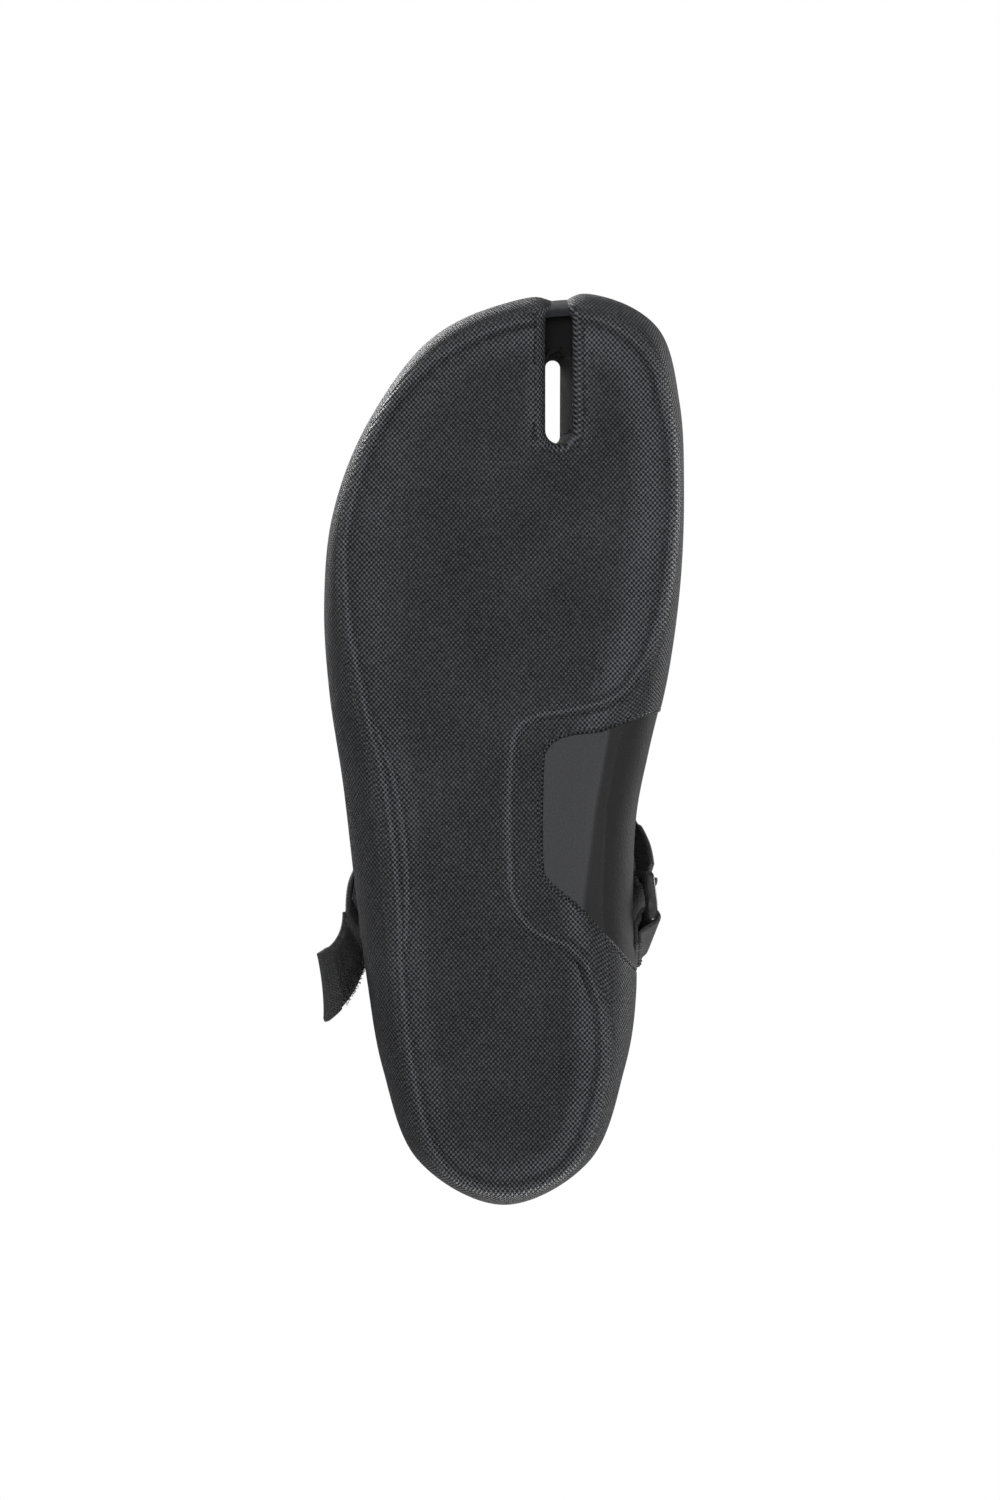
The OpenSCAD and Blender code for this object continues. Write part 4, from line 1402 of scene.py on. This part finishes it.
def pull_loop():
    """Webbing loop: two legs sewn flat on the heel, opening into a soft rounded eye."""
    z_on = np.linspace(TAB_FOOT, TAB_EYE, 12)
    eye = [(heel_y(TAB_EYE) + 1.2, 109.5), (120.3, 113), (120.6, 121), (120.4, 132), (120.5, 142),
           (121.6, 148), (125.4, 151.4), (129.2, 148.4), (130.4, 142), (130.2, 132), (129.4, 122),
           (126.6, 114), (heel_y(TAB_EYE) + 3.4, 108.6)]
    path = np.vstack([np.column_stack([heel_y(z_on) + 0.9, z_on]), curve_through(eye, 0.9),
                      np.column_stack([heel_y(z_on) + 2.4, z_on])[-2::-1]])
    step = unit(np.gradient(path, axis=0))
    c, share = selvedge(TAB_W / 2, 19)
    wave = 0.25 * np.sin(np.arange(len(path)) * 0.12)[:, None] * (c / TAB_W * 2)
    faces = []
    for sign in (-1, 1):
        off = wave + sign * TAB_T / 2 * share
        y, z = path[:, :1] + step[:, 1:] * off, path[:, 1:] - step[:, :1] * off
        faces.append(np.stack([c + 0 * off, y, z], -1))
    obj = slab("pull_loop_web", *faces)
    weld(obj, 0)
    finish_piece(obj, None, WEBBING, "webbing", "pull_tab")
    bend(obj, (0, 121, 106), (0, 122, 112))
    x0, z0, z1 = TAB_W / 2 - 1.4, TAB_FOOT + 1.6, TAB_EYE - 1.6
    corners = [(-x0, z0), (x0, z0), (x0, z1), (-x0, z1), (-x0, z0)]
    lines = []
    for (xa, za), (xb, zb) in zip(corners, corners[1:]):
        x, z = np.linspace(xa, xb, 40), np.linspace(za, zb, 40)
        lines.append((np.column_stack([x, heel_y(z) + 3.2, z]), np.tile([0.0, 1, 0], (40, 1))))
    stitches("pull_loop_stitches", lines, "root", "webbing", pitch=2.3)


pull_loop()


# ---------------------------------------------------------------- seam stitches
def ladder(u0, t0, u1, t1):
    """One zigzag thread over a butt seam, from one (u, t) to another."""
    reach, pitch, steps = 1.5, 2.4, 7
    uu, tt = np.linspace(u0, u1, 400), np.linspace(t0, t1, 400)
    run = run_along(skin(uu, tt))
    legs = max(2, int(2 * run[-1] / pitch))
    k = np.arange(legs * steps + 1) / steps
    d = k * run[-1] / legs
    side = 1 - 2 * np.abs(k % 2 - 1)

    def seam_at(distance):
        return np.interp(distance, run, uu), np.interp(distance, run, tt)

    across = np.cross(outward(*seam_at(d)), unit(skin(*seam_at(d + 0.4)) - skin(*seam_at(d - 0.4))))
    q = shift_uv(*seam_at(d), across * (side * reach)[:, None])
    depth = panel_depths(q[:, 0], q[:, 1], 0.45) - 0.16
    return below(q[:, 0], q[:, 1], depth + 0.75 * smooth((np.abs(side) - 0.72) / 0.28))


def seam_threads():
    low_t, vamp_t, top_t = 0.05, VAMP_TOP + SEAM / 2, QUARTER_TOP + SEAM / 2
    paths = [ladder(SIDE_SEAM, vamp_t, 1 - SIDE_SEAM, vamp_t), ladder(0, top_t, 1, top_t)]
    upright = ((SIDE_SEAM, low_t, vamp_t), (1 - SIDE_SEAM, low_t, vamp_t),
               (HEEL_SEAM, low_t, top_t), (-HEEL_SEAM, low_t, top_t),
               (INSTEP_SEAM, vamp_t, top_t), (1 - INSTEP_SEAM, vamp_t, top_t))
    paths += [ladder(u, start, u, end) for u, start, end in upright]
    finish_piece(tube("seam_threads", paths, 0.2), "root", THREAD, "neoprene")
    u, t = np.linspace(0, 1, 1200), np.full(1200, 0.9605)
    rim = [(below(u, t, panel_depths(u, t, 0.35) - 0.1), outward(u, t))]
    stitches("rim_stitches", rim, "root", "binding", pitch=2.8, radius=0.22)


seam_threads()


# ---------------------------------------------------------------- stage, lights and camera
def mix_shaders(tree, share, first, second):
    n = node(tree, "ShaderNodeMixShader")
    for socket, source in zip(n.inputs, (share, first, second)):
        tree.links.new(source, socket)
    return n.outputs[0]


def floor_material():
    """Pale matt floor that lets light through to the sole, is clear from underneath and fades to white."""
    mat = bpy.data.materials.new("pale_floor")
    mat.use_nodes = True
    tree = mat.node_tree
    shader = tree.nodes["Principled BSDF"]
    shader.inputs["Roughness"].default_value = 0.85
    at = node(tree, "ShaderNodeTexCoord").outputs["Object"]
    colour = ramp(tree, noise(tree, at, 6, 3), [(0.3, (0.80, 0.80, 0.79)), (0.7, (0.84, 0.84, 0.83))])
    tree.links.new(colour, shader.inputs["Base Color"])
    path = node(tree, "ShaderNodeLightPath")
    glow = node(tree, "ShaderNodeEmission")
    tree.links.new(path.outputs["Is Camera Ray"], glow.inputs["Strength"])
    length = node(tree, "ShaderNodeVectorMath", operation="LENGTH")
    tree.links.new(at, length.inputs[0])
    far = node(tree, "ShaderNodeMapRange", interpolation_type="SMOOTHSTEP")
    far.inputs["From Min"].default_value = 0.25
    far.inputs["From Max"].default_value = 1.6
    tree.links.new(length.outputs["Value"], far.inputs["Value"])
    faded = mix_shaders(tree, far.outputs[0], shader.outputs[0], glow.outputs[0])
    from_below = node(tree, "ShaderNodeNewGeometry").outputs["Backfacing"]
    hidden = math_node(tree, "MAXIMUM", from_below, path.outputs["Is Shadow Ray"])
    clear = node(tree, "ShaderNodeBsdfTransparent").outputs[0]
    tree.links.new(mix_shaders(tree, hidden, faded, clear), tree.nodes["Material Output"].inputs["Surface"])
    return mat


def build_stage():
    # The beads stand just under z = 0, so the floor lies below them
    size, drop = 9000, -0.4
    corners = [(-size, -size, drop), (size, -size, drop), (size, size, drop), (-size, size, drop)]
    floor = mesh_object("floor", corners, [(0, 1, 2, 3)])
    floor.data.materials.append(floor_material())
    world = bpy.data.worlds.new("studio")
    bpy.context.scene.world = world
    world.use_nodes = True
    tree = world.node_tree
    back = tree.nodes["Background"]
    path = node(tree, "ShaderNodeLightPath")
    level = node(tree, "ShaderNodeMapRange")
    level.inputs["To Min"].default_value = 0.13
    level.inputs["To Max"].default_value = 1.0
    tree.links.new(path.outputs["Is Camera Ray"], level.inputs["Value"])
    tree.links.new(level.outputs[0], back.inputs["Strength"])
    back.inputs["Color"].default_value = (1, 1, 1, 1)


def area_light(name, place, target_z, size, power):
    """A soft light aimed at the boot, at a height of its own."""
    data = bpy.data.lights.new(name, "AREA")
    data.shape = "RECTANGLE"
    data.size, data.size_y = size
    data.energy = power
    obj = bpy.data.objects.new(name, data)
    obj.location = place
    obj.rotation_euler = (Vector((0, 0, target_z)) - Vector(place)).to_track_quat("-Z", "Y").to_euler()
    bpy.context.scene.collection.objects.link(obj)


def build_lights():
    area_light("sole_front", (-0.1, -0.25, -1.25), 0.02, (0.7, 0.7), 12.5)
    area_light("sole_left", (-0.75, -0.15, -0.75), 0.02, (0.25, 1.2), 2.5)
    area_light("sole_right", (0.8, 0.1, -0.8), 0.02, (0.25, 1.1), 3)
    area_light("sole_top", (0.0, -0.9, -0.7), 0.02, (0.9, 0.3), 1.6)
    area_light("key_above", (-0.6, -0.8, 1.25), 0.07, (0.6, 0.6), 16)
    area_light("fill_above", (1.1, -0.2, 0.8), 0.07, (0.7, 0.7), 9)
    area_light("rim_above", (0.2, 1.2, 0.8), 0.07, (0.7, 0.5), 9)


def build_camera():
    """Straight up at the sole, toe at the top of the picture."""
    data = bpy.data.cameras.new("camera")
    data.sensor_fit = "VERTICAL"
    data.sensor_height = 36
    data.lens = 100
    view_height = 0.4692
    distance = view_height * data.lens / data.sensor_height
    camera = bpy.data.objects.new("camera", data)
    camera.location = (-0.00125, 0.0, 0.015 - distance)
    camera.rotation_euler = (math.pi, 0, 0)
    bpy.context.scene.collection.objects.link(camera)
    bpy.context.scene.camera = camera


build_stage()
build_lights()
build_camera()
bpy.context.scene.view_settings.view_transform = "Standard"
